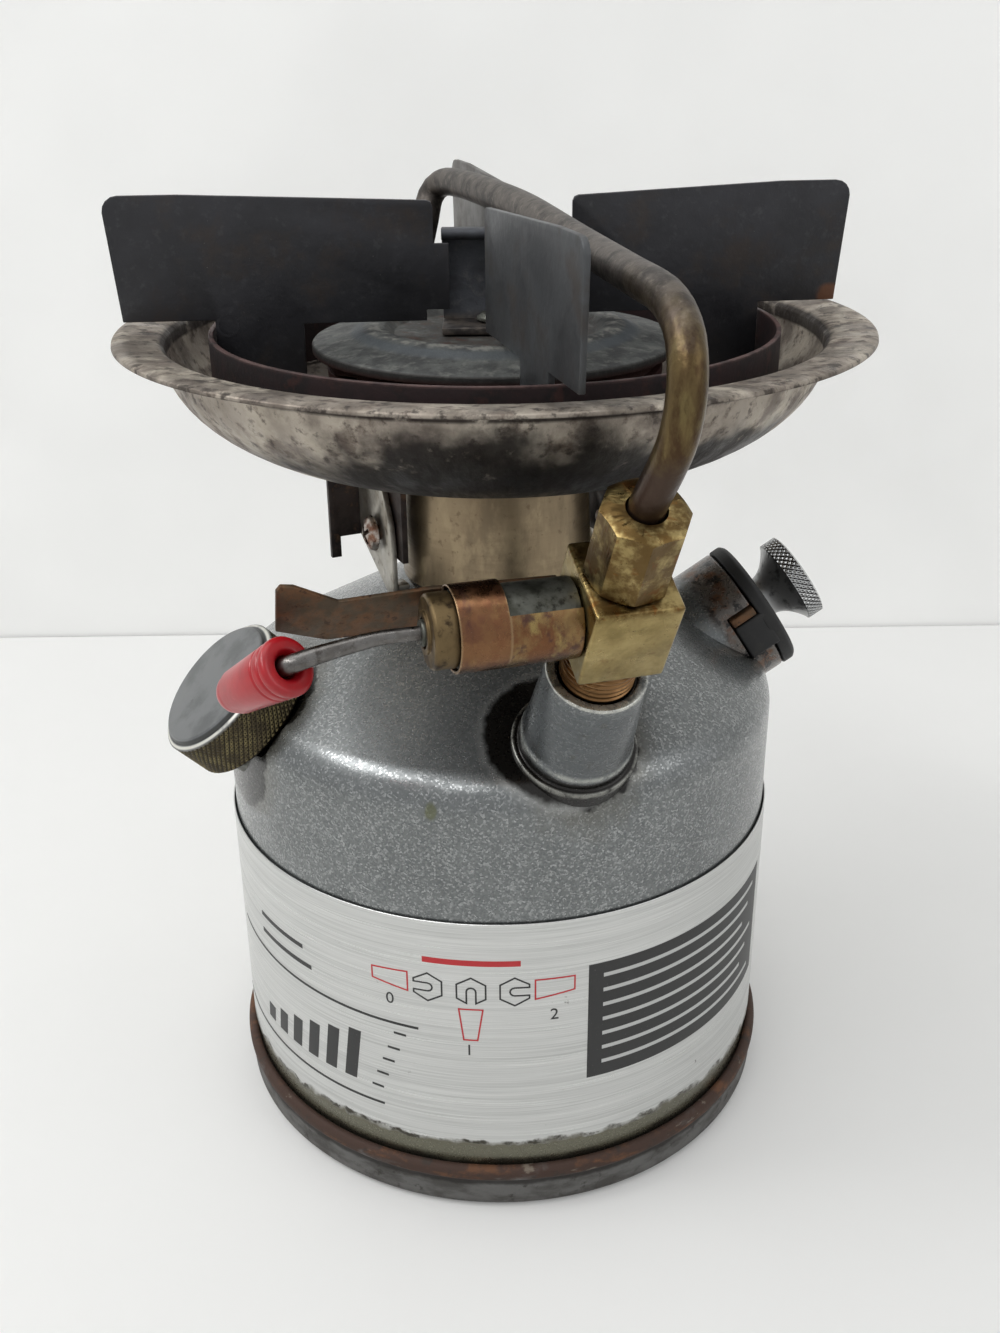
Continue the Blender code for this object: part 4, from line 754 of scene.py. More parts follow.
def carve(shape, *tools, operation="DIFFERENCE"):
    """Cut a shape with others, or keep only what it shares with them."""
    for tool in tools:
        piece, cutter = as_object("carved", shape), as_object("cutter", tool)
        step = piece.modifiers.new("carve", "BOOLEAN")
        step.operation = operation
        step.solver = "EXACT"
        step.object = cutter
        shape = final_shape(piece)
        bpy.data.objects.remove(cutter, do_unlink=True)
    return shape


def add_shape(shape, other):
    """Put another shape's faces in a shape too."""
    mesh = bpy.data.meshes.new("added")
    other.to_mesh(mesh)
    other.free()
    shape.from_mesh(mesh)
    bpy.data.meshes.remove(mesh)
    return shape


def bar_along(points, carrier, radius, swell=None):
    """A round bar along points in a carrier. Swell holds one share of the radius for each point."""
    curve = bpy.data.curves.new("bar", "CURVE")
    curve.dimensions = "3D"
    curve.bevel_depth = radius * mm
    curve.bevel_resolution = 10
    curve.use_fill_caps = True
    spline = curve.splines.new("POLY")
    spline.points.add(len(points) - 1)
    for i, point in enumerate(points):
        spline.points[i].co = (*(carrier @ (point * mm)), 1.0)
        spline.points[i].radius = swell[i] if swell else 1.0
    piece = bpy.data.objects.new("bar", curve)
    bpy.context.scene.collection.objects.link(piece)
    return final_shape(piece)


def smooth_path(points, spacing):
    """Points along a smooth curve through the given ones, about one spacing apart."""
    path = []
    for i, (start, end) in enumerate(zip(points, points[1:])):
        before, after = points[max(i - 1, 0)], points[min(i + 2, len(points) - 1)]
        slope = (end - before) / 2
        square = before - 5 * start / 2 + 2 * end - after / 2
        cube = (after - before) / 2 + 3 * (start - end) / 2
        count = max(1, round((end - start).length / spacing))
        for t in [k / count for k in range(count)]:
            path.append(start + slope * t + square * t ** 2 + cube * t ** 3)
    return path + [points[-1]]


def knurl_teeth(radius):
    return round(2 * math.pi * radius * mm / sizes().knurl_pitch)


def knurl_rows(low, high):
    """Rows of points on a knurled rim, a quarter of the pitch apart."""
    return round((high - low) * mm / (sizes().knurl_pitch / 4))


def knurled_rim(radius, low, high):
    """Profile points close enough together for a knurl, from the top of a rim to its bottom."""
    rows = knurl_rows(low, high)
    return [(radius, high - (high - low) * i / rows) for i in range(rows + 1)]


def press_knurl(shape, carrier, radius, low, high):
    """Press crossed grooves into a round rim whose points lie a quarter of the pitch apart."""
    into = carrier.inverted()
    for vertex in shape.verts:
        local = (into @ vertex.co) / mm
        if abs(local.xy.length - radius) > 0.01 or not low - 0.01 < local.z < high + 0.01:
            continue
        turn = math.atan2(local.y, local.x) / (2 * math.pi) * knurl_teeth(radius)
        rise = (local.z - low) / (high - low) * knurl_rows(low, high) / 4
        near = min(abs(way - round(way)) for way in (turn + rise, turn - rise))
        local.xy *= 1.0 - max(0.0, 1.0 - 4.0 * near) * sizes().knurl_depth / mm / radius
        vertex.co = carrier @ (local * mm)


def dress(node, shape, material, name=None):
    """Put a finished shape in the scene for a CAD node, riding on that node's body."""
    piece = as_object(name or "finished_" + node, shape)
    piece.data.materials.append(material)
    piece.data.shade_smooth()
    piece.data.set_sharp_from_angle(angle=math.radians(35.0))
    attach(piece, frame["nodes"][node]["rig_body"])
    if name is None:
        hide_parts(node)
    return piece


def cone_height(radius):
    """Height of the tank's sloping top at a radius."""
    return cone_foot + cone_slope * (tank_radius - radius)


def bowl_height(radius):
    """Height of the pan's inside at a radius."""
    share = max(0.0, (radius - bowl_flat) / bowl_run)
    return pan_rim - 21.6 + bowl_depth * (1.0 - math.sqrt(max(0.0, 1.0 - share ** 2)))


class STOVE_OT_tank(Operator):
    """Build the flake-enamelled tank, the cup it stands in and the foil round it"""
    bl_idname = "stove.tank"
    bl_label = "Tank"

    def execute(self, context):
        steps, edge = sizes().large_steps, sizes().edge / mm
        slope, bend = math.atan(cone_slope), 8.0
        middle = tank_radius - bend
        shoulder = arc((middle, cone_height(middle) - bend / math.cos(slope)), bend,
                       90.0 - math.degrees(slope), 0.0, 14)
        profile = rounded([(0.0, tank_top), (14.0, tank_top), shoulder[0]], 4.0, steps=6)[:-1]
        for share in (0.25, 0.5, 0.75):
            radius = 18.0 + (shoulder[0][0] - 18.0) * share
            profile.append((radius, cone_height(radius)))
        profile += shoulder
        profile += [(tank_radius, tank_bottom + edge), (tank_radius - edge, tank_bottom), (0.0, tank_bottom)]
        shell = lathe(profile, 0.0, tank_frame, steps)
        pocket = [(0.0, 12.0), (14.8, 12.0), (14.4, 0.4), (13.6, -0.6), (0.0, -0.6)]
        shell = carve(shell, lathe(pocket, 1.0, filler_frame, sizes().small_steps))
        dress("tank_shell", shell, enamel("tank"))

        out, inside = base_radius, tank_radius + 0.1
        profile = [
            (0.0, 1.9), (inside, 1.9), (inside, base_top - 0.2), (out - 0.6, base_top + 0.1),
            (out + 0.3, base_top - 0.7), (out + 0.3, base_top - 2.2), (out - 0.3, base_top - 2.8),
            (out - 0.3, 1.6), (out - 1.5, 0.0), (out - 3.5, 0.0), (out - 4.5, 1.0), (0.0, 1.0),
        ]
        dress("tank_base", lathe(profile, 0.7, tank_frame, steps), base_paint())

        inner = label_radius - 0.25
        profile = [(label_radius, label_top), (label_radius, label_foot), (inner, label_foot),
                   (inner, label_top)]
        profile = rounded(profile, 0.08, closed=True, steps=1)
        dress("label_band", lathe(profile, 0.0, tank_frame, steps), brushed_foil())
        return {"FINISHED"}


def flat_shape(points):
    """A flat face between corners."""
    shape = bmesh.new()
    shape.faces.new([shape.verts.new((x * mm, y * mm, 0.0)) for x, y in points])
    return shape


def outline(points, width):
    """A flat outline, one line width inside the given corners."""
    shape = flat_shape(points)
    shape.faces.ensure_lookup_table()
    face = shape.faces[0]
    bmesh.ops.recalc_face_normals(shape, faces=[face])
    bmesh.ops.inset_individual(shape, faces=[face], thickness=width * mm, use_even_offset=True)
    bmesh.ops.delete(shape, geom=[face], context="FACES")
    return shape


def strip(start, end, width):
    """A flat bar from one point to another, in short lengths so that it can bend."""
    start, end = Vector(start) * mm, Vector(end) * mm
    run = (end - start).length
    shape = bmesh.new()
    bmesh.ops.create_grid(shape, x_segments=max(1, round(run / mm)), y_segments=1, size=0.5)
    bmesh.ops.scale(shape, vec=(run, width * mm, 1.0), verts=shape.verts)
    turn = Matrix.Rotation(math.atan2((end - start).y, (end - start).x), 4, "Z")
    middle = Matrix.Translation(((start + end) / 2).to_3d())
    bmesh.ops.transform(shape, matrix=middle @ turn, verts=shape.verts)
    return shape


def slanted_bar(start, foot, width, height):
    """A flat bar that leans to the right, for a plain scale."""
    lean = height * 0.14
    return flat_shape(((start, foot), (start + width, foot), (start + width + lean, foot + height),
                       (start + lean, foot + height)))


def numeral(words, place, height):
    """A plain numeral as a flat shape."""
    curve = bpy.data.curves.new("numeral", "FONT")
    curve.body = words
    curve.size = height * 1.4 * mm
    curve.align_x = "CENTER"
    curve.align_y = "CENTER"
    piece = bpy.data.objects.new("numeral", curve)
    bpy.context.scene.collection.objects.link(piece)
    shape = final_shape(piece)
    bmesh.ops.translate(shape, vec=(place[0] * mm, place[1] * mm, 0.0), verts=shape.verts)
    return shape


def lever_mark(centre, side):
    """Corners of a hexagon with a slot in one side, as the lever's plan: side is left, down or right."""
    turns = [math.radians(60 * i) for i in range(6)]
    hexagon = [(3.0 * math.sin(turn), 3.0 * math.cos(turn)) for turn in turns]
    if side == "down":
        slot = [(0.65, -2.62), *arc((0.0, 0.0), 0.65, 0.0, 180.0, 6), (-0.65, -2.62)]
        points = hexagon[4:] + hexagon[:3] + slot
    else:
        flip = 1.0 if side == "right" else -1.0
        ends = [(2.598, -0.65), *arc((0.0, 0.0), 0.65, 270.0, 90.0, 6), (2.598, 0.65)]
        points = [(flip * x, y) for x, y in hexagon[2:] + hexagon[:2] + ends[::-1]]
    return [(centre[0] + x, centre[1] + y) for x, y in points]


def label_piece(name, shapes, lift, material):
    """Bend flat drawings round the label as one thin raised piece: x runs round it and y up it."""
    shape = shapes[0]
    for other in shapes[1:]:
        add_shape(shape, other)
    bmesh.ops.recalc_face_normals(shape, faces=shape.faces)
    for place in range(-70, 71):
        everything = shape.verts[:] + shape.edges[:] + shape.faces[:]
        bmesh.ops.bisect_plane(shape, geom=everything, dist=mm / 1000, plane_co=(place * mm, 0.0, 0.0),
                               plane_no=(1.0, 0.0, 0.0))
    made = bmesh.ops.extrude_face_region(shape, geom=shape.faces[:])
    raised = [item for item in made["geom"] if isinstance(item, bmesh.types.BMVert)]
    bmesh.ops.translate(shape, vec=(0.0, 0.0, (0.05 + lift) * mm), verts=raised)
    for vertex in shape.verts:
        turn = vertex.co.x / (label_radius * mm) - math.pi / 2
        reach = (label_radius - 0.02) * mm + vertex.co.z
        vertex.co = (reach * math.cos(turn), reach * math.sin(turn), vertex.co.y)
    bmesh.ops.recalc_face_normals(shape, faces=shape.faces)
    return dress("label_band", shape, material, name)


class STOVE_OT_label(Operator):
    """Print the label: ruled lines, lever plans, numerals and a dark panel with plain rules"""
    bl_idname = "stove.label"
    bl_label = "Label marks"

    def execute(self, context):
        dark = ink("dark_label_ink", colours().dark_ink)
        dark_marks = [outline(lever_mark(centre, side), 0.3) for centre, side in
                      (((-12.8, 47.4), "left"), ((-5.4, 47.2), "down"), ((1.9, 47.3), "right"))]
        dark_marks += [numeral(words, place, 2.3) for words, place in
                       (("0", (-19.7, 43.5)), ("1", (-5.9, 34.9)), ("2", (8.6, 42.0)))]
        dark_marks += [strip((-63.6, 39.6), (-14.7, 38.3), 0.5), strip((-68.0, 20.4), (-21.8, 19.8), 0.5)]
        dark_marks += [slanted_bar(-53.0 + 4.6 * i, 23.4, 2.6, 3.4 + 1.5 * i) for i in range(6)]
        dark_marks += [strip((end - 2.3, height + 0.15), (end, height), 0.45) for end, height in
                       ((-17.0, 36.2), (-18.3, 32.8), (-19.4, 29.9), (-20.7, 26.6), (-21.8, 23.5))]
        dark_marks += [strip((-52.0, 47.2 - 3.6 * row), (-38.5 + 2.0 * row, 47.0 - 3.6 * row), 0.9)
                       for row in range(2)]
        label_piece("label_dark_marks", dark_marks, 0.0, dark)

        red_marks = [outline(points, 0.28) for points in (
            ((-23.0, 49.6), (-16.2, 50.0), (-16.2, 45.8), (-23.0, 47.0)),
            ((-7.7, 43.7), (-6.9, 37.0), (-4.3, 37.0), (-3.3, 43.7)),
            ((5.2, 49.6), (5.2, 45.4), (12.2, 46.6), (12.2, 49.6)))]
        red_marks.append(strip((-13.6, 53.0), (2.9, 53.0), 1.1))
        label_piece("label_red_marks", red_marks, 0.0, ink("red_label_ink", colours().red_ink))

        label_piece("label_panel", [strip((14.5, 39.05), (62.0, 39.05), 23.9)], 0.0, dark)
        rules = [strip((17.2, 48.4 - 3.05 * row), (58.5 - 2.5 * (row % 3), 48.4 - 3.05 * row), 0.75)
                 for row in range(7)]
        label_piece("label_panel_rules", rules, 0.03, ink("pale_label_ink", "c9cac8"))
        return {"FINISHED"}


class STOVE_OT_valve(Operator):
    """Build the painted boss and the brass valve body in it"""
    bl_idname = "stove.valve"
    bl_label = "Valve"

    def execute(self, context):
        steps = sizes().small_steps
        profile = [(7.8, 19.5), (8.8, 3.6), (9.2, 2.8), (9.2, 0.5), (10.3, 0.4), (10.3, -5.5), (5.8, -5.5),
                   (5.8, 18.5), (6.3, 18.5), (6.3, 19.5)]
        dress("valve_boss", lathe(profile, 0.35, valve_frame, steps), enamel("boss"))

        profile = [(0.0, 50.5), (4.7, 50.5), (4.7, 39.0), (5.5, 39.0), (5.5, 25.2)]
        for turn in range(7):
            height = 25.6 - 1.05 * turn
            profile += [(5.75, height), (5.75, height - 0.3), (5.15, height - 0.65)]
        profile += [(5.5, 14.0), (5.5, -2.0), (0.0, -2.0)]
        middle, half = Vector((0.0, 0.0, 33.5)), Vector((7.0, 6.5, 7.5))
        body = add_shape(lathe(profile, 0.0, valve_frame, steps),
                         block(middle - half, middle + half, valve_frame, 0.55))
        dress("valve_body", body, tarnished_brass())
        return {"FINISHED"}


class STOVE_OT_lever(Operator):
    """Build the stem with its housing, sleeve and packing nut, the rod, the red grip and the stop"""
    bl_idname = "stove.lever"
    bl_label = "Lever"

    def execute(self, context):
        steps, edge = sizes().small_steps, sizes().edge / mm
        start, end = 6.8, 23.7
        profile = [(5.5, end), (5.5, start), (3.6, start), (3.6, 3.3), (2.2, 3.3), (2.2, end)]
        dress("stem_housing", lathe(profile, edge, lever_frame, steps), sooty_steel())

        sleeve = hoop(6.2, 5.8, start, end + 0.5, 0.15, lever_frame, steps)
        turned = lever_frame @ Matrix.Rotation(math.radians(59.5), 4, "Z")
        gap = block((-9.0, 0.0, start - 2.0), (9.0, 9.0, 17.2), turned)
        dress("valve_sleeve", carve(sleeve, gap), heated_copper())

        profile = [(3.1, 28.0), (3.1, 27.5), (4.95, 27.5), (5.35, 27.1), (5.35, 24.0), (2.2, 24.0),
                   (2.2, 28.0)]
        dress("packing_nut", lathe(profile, edge, lever_frame, steps),
              stained_steel("browned_packing_nut", "6d5c40", "4a3b28", "2a2117", 0.42))

        profile = [(0.0, 28.4), (1.9, 28.4), (1.9, -2.6), (0.0, -2.6)]
        dress("valve_stem", lathe(profile, 0.4, lever_frame, steps), sooty_steel())

        # The rod leaves the stem, bows aside and swells towards the grip
        mouth, bend, rise = Vector((1.4, -1.6, 46.3)), 34.0, 12.3
        lean = (Matrix.Rotation(math.radians(247.9), 3, "Z") @ Matrix.Rotation(math.radians(59.7), 3, "Y"))
        aside = Vector((mouth.x, mouth.y, 0.0))
        route = [upwards * height for height in (20.3, 28.4, bend)]
        route += [upwards * (bend + rise * up) + aside * out for up, out in ((0.4, 0.3), (0.75, 0.65))]
        route += [mouth + lean @ (upwards * depth) for depth in (0.0, 2.0, 6.7)]
        path = smooth_path(route, 0.81)
        swell = [1.0 + 0.3 * min(1.0, max(0.0, (point.z - bend) / rise)) for point in path]
        dress("lever_rod", bar_along(path, lever_frame, 1.05, swell),
              stained_steel("bare_rod_steel", "706e6c", "615e5b", "4a4643", 0.28, 1.0, 3.0))

        tip = 3.0
        profile = [(tip * math.sin(turn), 15.5 - tip * (1.0 - math.cos(turn)))
                   for turn in [math.pi / 20 * i for i in range(11)]]
        profile += rounded([
            (3.3, 12.0), (4.0, 3.6), (3.85, 3.4), (3.85, 3.1), (4.1, 2.9), (4.1, 2.0), (3.9, 1.8),
            (3.9, 1.5), (4.25, 1.25), (4.25, 0.4), (3.7, 0.0), (2.3, 0.0), (1.65, 0.9), (1.65, 7.0),
            (0.0, 7.0)], 0.35)
        grip_frame = lever_frame @ Matrix.LocRotScale(mouth * mm, lean, None)
        dress("lever_grip", lathe(profile, 0.0, grip_frame, steps), red_vinyl())
        dress("lever_stop", copy_of("lever_stop"), rusted_steel())
        return {"FINISHED"}


class STOVE_OT_generator(Operator):
    """Build the eight-sided nut and the arched tube"""
    bl_idname = "stove.generator"
    bl_label = "Generator"

    def execute(self, context):
        steps = sizes().small_steps
        low, high, reach = 41.3, 54.0, 6.3 * mm
        nut = bmesh.new()
        bmesh.ops.create_cone(nut, cap_ends=True, segments=8, radius1=reach, radius2=reach,
                              depth=(high - low) * mm)
        middle = Matrix.Translation((0.0, 0.0, (low + high) / 2 * mm))
        turn = Matrix.Rotation(math.radians(-10.0), 4, "Z")
        bmesh.ops.transform(nut, matrix=valve_frame @ middle @ turn, verts=nut.verts)
        round_ends = [(0.0, high), (5.2, high), (6.6, high - 0.9), (6.6, low + 0.6), (5.6, low), (0.0, low)]
        nut = carve(nut, lathe(round_ends, 0.0, valve_frame, steps), operation="INTERSECT")
        step = high - 2.8
        bore = [(0.0, high + 1.0), (2.9, high + 1.0), (2.9, step), (5.0, step), (5.0, low - 1.0),
                (0.0, low - 1.0)]
        nut = carve(nut, lathe(bore, 0.0, valve_frame, steps))
        dress("generator_nut", nut, tarnished_brass())

        # The arch, as shares of the pan's radius and of its own rise over the pan's rim
        route = [valve_frame @ (upwards * height * mm) / mm for height in (44.3, 50.5, 54.7)]
        for x, y, rise in (
            (0.331, -1.110, -0.280), (0.346, -1.138, -0.060), (0.356, -1.143, 0.190), (0.359, -1.121, 0.420),
            (0.354, -1.068, 0.620), (0.331, -0.967, 0.761), (0.279, -0.777, 0.810), (0.198, -0.412, 0.859),
            (0.087, 0.016, 0.957), (-0.016, 0.349, 0.995), (-0.108, 0.618, 1.000), (-0.156, 0.717, 0.960),
            (-0.190, 0.737, 0.830), (-0.206, 0.703, 0.600), (-0.223, 0.655, 0.330), (-0.233, 0.600, -0.060),
            (-0.231, 0.575, -0.600), (-0.222, 0.552, -1.060), (-0.190, 0.485, -1.440),
        ):
            route.append(Vector((x * pan_radius, y * pan_radius, pan_rim + rise * 18.4)))
        route += [heading(111.5) * out + upwards * (column_foot + 13.6) for out in (25.1, 20.0)]
        dress("generator_tube", bar_along(smooth_path(route, 1.6), tank_frame, 2.55), fired_tube())
        return {"FINISHED"}


class STOVE_OT_filler(Operator):
    """Build the screw cap with its knurled skirt, its neck and its gasket"""
    bl_idname = "stove.filler"
    bl_label = "Filler"

    def execute(self, context):
        rim, low, high = 13.0, 0.6, 7.8
        profile = rounded([(0.0, 9.3), (11.4, 9.3), (11.9, 8.9), (12.0, 8.4), (12.4, 8.4), (12.6, 8.3),
                           (rim, 8.0)], 0.15, steps=2)
        profile += knurled_rim(rim, low, high)
        profile += [(12.7, 0.2), (12.5, 0.0), (10.2, 0.0), (10.2, 7.9), (0.0, 7.9)]
        cap = lathe(profile, 0.0, filler_frame, 4 * knurl_teeth(rim))
        press_knurl(cap, filler_frame, rim, low, high)
        dress("filler_cap", cap, cap_casting())

        steps = sizes().small_steps
        dress("filler_neck", hoop(9.8, 8.0, -7.5, 6.1, 0.3, filler_frame, steps), sooty_steel())
        dress("filler_gasket", hoop(9.8, 8.0, 6.4, 7.6, 0.2, filler_frame, steps),
              soft_seal("moulded_rubber", "2a2826"))
        return {"FINISHED"}


class STOVE_OT_pump(Operator):
    """Build the pump's collar, its cap with the tab and clip, the plunger and the knurled knob"""
    bl_idname = "stove.pump"
    bl_label = "Pump"

    def execute(self, context):
        steps = sizes().small_steps
        notch_frame = pump_frame @ Matrix.Rotation(math.radians(-99.0), 4, "Z")
        profile = [(12.55, 0.0), (12.55, -15.0), (9.5, -15.0), (9.5, -87.3), (2.5, -87.3), (2.5, -85.3),
                   (8.7, -85.3), (8.7, 0.0)]
        barrel = lathe(profile, 0.5, pump_frame, steps)
        notch = block((9.2, -4.7, -5.2), (15.0, 4.7, 2.0), notch_frame, 0.3)
        dress("pump_cylinder", carve(barrel, notch), enamel("pump"))

        profile = [(11.9, 3.1), (12.7, 2.3), (12.7, 0.3), (8.4, 0.3), (8.4, -2.5), (3.4, -2.5), (3.4, 3.1)]
        cap = lathe(profile, 0.35, pump_frame, steps)
        tab = block((9.5, -2.5, -4.9), (12.6, 4.4, 1.2), notch_frame, 0.4)
        dress("pump_cap", add_shape(cap, tab), black_nylon())
        dress("pump_clip", block((9.5, -4.4, -4.9), (12.9, -2.8, 0.0), notch_frame, 0.3), rusted_steel())

        profile = [(0.0, 7.0), (2.8, 7.0), (2.8, -77.0), (1.65, -77.0), (1.65, 0.3), (0.0, 0.3)]
        dress("plunger_rod", lathe(profile, sizes().edge / mm, pump_frame, steps), plated_steel())

        low, top, rim = 3.4, 12.8, 8.3
        profile = rounded([(0.0, top), (rim * 0.6, top - 0.15), (rim - 0.5, top - 0.5), (rim, top - 0.8)],
                          0.3, steps=2)
        rim_low, rim_high = top - 3.7, top - 0.9
        profile += knurled_rim(rim, rim_low, rim_high)
        for share in [i / 12 for i in range(12, -1, -1)]:
            profile.append((3.9 + 3.9 * share ** 2.2, low + (rim_low - 0.2 - low) * share))
        profile += [(3.1, low), (3.1, low + 3.9), (0.0, low + 3.9)]
        knob = lathe(profile, 0.0, pump_frame, 4 * knurl_teeth(rim))
        press_knurl(knob, pump_frame, rim, rim_low, rim_high)
        dress("pump_knob", knob, knurled_knob())
        return {"FINISHED"}


class STOVE_OT_brackets(Operator):
    """Build the ears on the tank, the legs under the pan and their screws"""
    bl_idname = "stove.brackets"
    bl_label = "Brackets"

    def execute(self, context):
        ear = stained_steel("bare_ear_steel", "b0aca3", "8d877c", "4a4038", 0.36, 0.9)
        leg = stained_steel("burnt_leg_steel", "3b322f", "241f1e", "5d4636", 0.5, 0.6)
        for side, azimuth in (("left", -156.0), ("right", 24.0)):
            dress("tank_ear_" + side, copy_of("tank_ear_" + side), ear)
            dress("burner_leg_" + side, copy_of("burner_leg_" + side), leg)
            low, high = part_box("leg_screw_" + side)
            screw_frame = carrier_on((low + high) / 2 - heading(azimuth) * 0.25 * mm, heading(azimuth))
            profile = [(0.0, 3.1), (1.6, 2.9), (2.8, 2.3), (3.3, 1.3), (1.4, 1.3), (1.4, -2.3), (0.0, -2.3)]
            cross = [block((-1.9, -0.4, 1.9), (1.9, 0.4, 4.0), screw_frame
                           @ Matrix.Rotation(math.radians(turn), 4, "Z")) for turn in (35.0, 125.0)]
            dress("leg_screw_" + side, carve(lathe(profile, 0.3, screw_frame, 48), *cross),
                  stained_steel("rusty_screw_steel", "b3aca4", "7a5a4a", "4a2e24", 0.3, 1.0, 2.0))
        return {"FINISHED"}


def sheet_outline(points, thickness):
    """Corners round a bent sheet, whose upper side runs along the given points."""
    points = [Vector(point) for point in points]
    under = []
    for i, point in enumerate(points):
        along = (points[min(i + 1, len(points) - 1)] - points[max(i - 1, 0)]).normalized()
        under.append(point - Vector((-along.y, along.x)) * thickness)
    return points + under[::-1]


class STOVE_OT_pan(Operator):
    """Build the column, the bowl-shaped pan and the ring in it"""
    bl_idname = "stove.pan"
    bl_label = "Pan"

    def execute(self, context):
        steps = sizes().large_steps
        profile = [(16.0, column_top), (16.6, column_top - 9.0), (17.0, column_foot), (16.2, column_foot),
                   (15.2, column_top)]
        dress("mixing_column", lathe(profile, 0.2, tank_frame, steps), yellowed_column())

        top = [(12.5, bowl_height(0.0)), (bowl_flat, bowl_height(0.0))]
        for i in range(1, 21):
            radius = bowl_flat + bowl_run * math.sin(math.radians(4.5 * i))
            top.append((radius, bowl_height(radius)))
        top += rounded([(55.0, pan_rim - 1.4), (55.9, pan_rim - 0.6), (61.5, pan_rim),
                        (pan_radius - 0.1, pan_rim - 0.3), (pan_radius, pan_rim - 0.9)], 0.6)
        pan = lathe(sheet_outline(top, 0.8), 0.0, tank_frame, steps)
        hole = Matrix.Translation((-14.3 * mm, 36.6 * mm, 0.0))
        cutter = [(0.0, pan_rim), (4.2, pan_rim), (4.2, pan_foot - 2.0), (0.0, pan_foot - 2.0)]
        dress("burner_pan", carve(pan, lathe(cutter, 0.0, hole, 48)), pan_steel())

        ring = hoop(ring_radius, ring_radius - 0.8, bowl_height(ring_radius) + 0.3, ring_top, 0.2,
                    tank_frame, steps)
        dress("windscreen_ring", ring, ring_steel())
        return {"FINISHED"}


class STOVE_OT_burner(Operator):
    """Build the burner's cup, wavy flame rings, cap and screw, and the rest over them"""
    bl_idname = "stove.burner"
    bl_label = "Burner"

    def execute(self, context):
        steps = sizes().large_steps
        low = corners("burner_cup")[0].z
        rim = low + 10.0
        profile = [(28.0, rim), (19.0, low), (12.0, low), (12.0, low + 0.9), (18.6, low + 0.9), (27.1, rim)]
        arms = block((-14.0, -2.5, low + 0.2), (14.0, 2.5, low + 2.1), tank_frame, 0.3)
        cup = add_shape(lathe(profile, 0.6, tank_frame, steps), arms)
        dress("burner_cup", cup, burner_steel())

        for place, swing in (("lower", 0.4), ("middle", 0.0), ("upper", 0.4)):
            foot = corners("burner_ring_" + place)[0].z + swing
            ring = hoop(28.5, 21.0, foot, foot + 1.5, 0.3, tank_frame, steps)
            for vertex in ring.verts:
                vertex.co.z += swing * mm * math.sin(12 * math.atan2(vertex.co.y, vertex.co.x))
            dress("burner_ring_" + place, ring, burner_steel())

        under = cap_foot + 0.3
        profile = [(2.2, 2.2), (17.0, 2.2), (18.6, 3.4), (19.6, 3.6), (21.2, 3.6), (22.6, 3.2), (24.6, 2.3),
                   (27.6, 1.9), (30.6, 1.3), (30.9, 1.0), (30.9, -0.3), (28.8, -0.3), (28.8, 0.0),
                   (21.0, 0.0), (19.8, 1.0), (2.2, 1.0)]
        profile = [(radius, under + height) for radius, height in profile]
        dress("burner_cap", lathe(profile, 0.25, tank_frame, steps), burner_steel())

        low, high = [corner.z for corner in corners("cap_screw")]
        profile = [(0.0, high), (2.2, high - 0.2), (3.0, high - 0.9), (3.0, high - 1.5), (1.9, high - 1.5),
                   (1.9, low), (0.0, low)]
        gap = block((-4.0, -0.4, high - 0.8), (4.0, 0.4, high + 1.0), tank_frame)
        dress("cap_screw", carve(lathe(profile, 0.2, tank_frame, 48), gap), sooty_steel())

        low, high = corners("generator_rest")
        rest = copy_of("generator_rest")
        front = min(vertex.co.y / mm for vertex in rest.verts if vertex.co.z / mm > high.z - 0.6)
        lip = [Vector((x, front + 0.5, high.z - 0.9)) for x in (low.x, high.x)]
        dress("generator_rest", add_shape(rest, bar_along(lip, tank_frame, 0.95)), rest_steel(low.z))
        return {"FINISHED"}


class STOVE_OT_vanes(Operator):
    """Build the four pot vanes"""
    bl_idname = "stove.vanes"
    bl_label = "Vanes"

    def execute(self, context):
        vane = copy_of("vane_left")
        # A plain ring is pressed in the left vane, low down on its front
        outer, inner = [end(vane.verts, key=lambda vertex: vertex.co.x).co / mm for end in (min, max)]
        along = Vector((inner.x - outer.x, inner.y - outer.y, 0.0)).normalized()
        forwards = Vector((along.y, -along.x, 0.0))
        face = outer.lerp(inner, (-44.3 - outer.x) / (inner.x - outer.x))
        face.z = pan_rim + 0.3
        ring_frame = carrier_on((face + forwards * 0.5) * mm, forwards)
        add_shape(vane, hoop(1.9, 1.5, -0.2, 0.15, 0.0, ring_frame, 48))
        side = blackened_steel("blackened_side_vane", "252528", "2e2e32")
        dress("vane_left", vane, side)
        for node, steel in (("vane_right", side),
                            ("vane_front", blackened_steel("blackened_front_vane", "4c4e50", "414244")),
                            ("vane_back", blackened_steel("greyed_back_vane", "6a6865", "55524f"))):
            dress(node, copy_of(node), steel)
        return {"FINISHED"}


class STOVE_OT_inside(Operator):
    """Give the plain pieces inside the stove their finishes"""
    bl_idname = "stove.inside"
    bl_label = "Inside pieces"

    def execute(self, context):
        for material, nodes in (
            (tarnished_brass(), ("fuel_pickup_tube", "generator_jet", "check_valve")),
            (plated_steel(), ("cleaning_needle", "air_stem")),
            (soft_seal("moulded_rubber", "2a2826"), ("stem_packing",)),
            (soft_seal("cut_leather", "6b4a30"), ("pump_cup",)),
        ):
            for place in [place for node in nodes for place in frame["nodes"][node].material_slots]:
                place.material = material
        return {"FINISHED"}


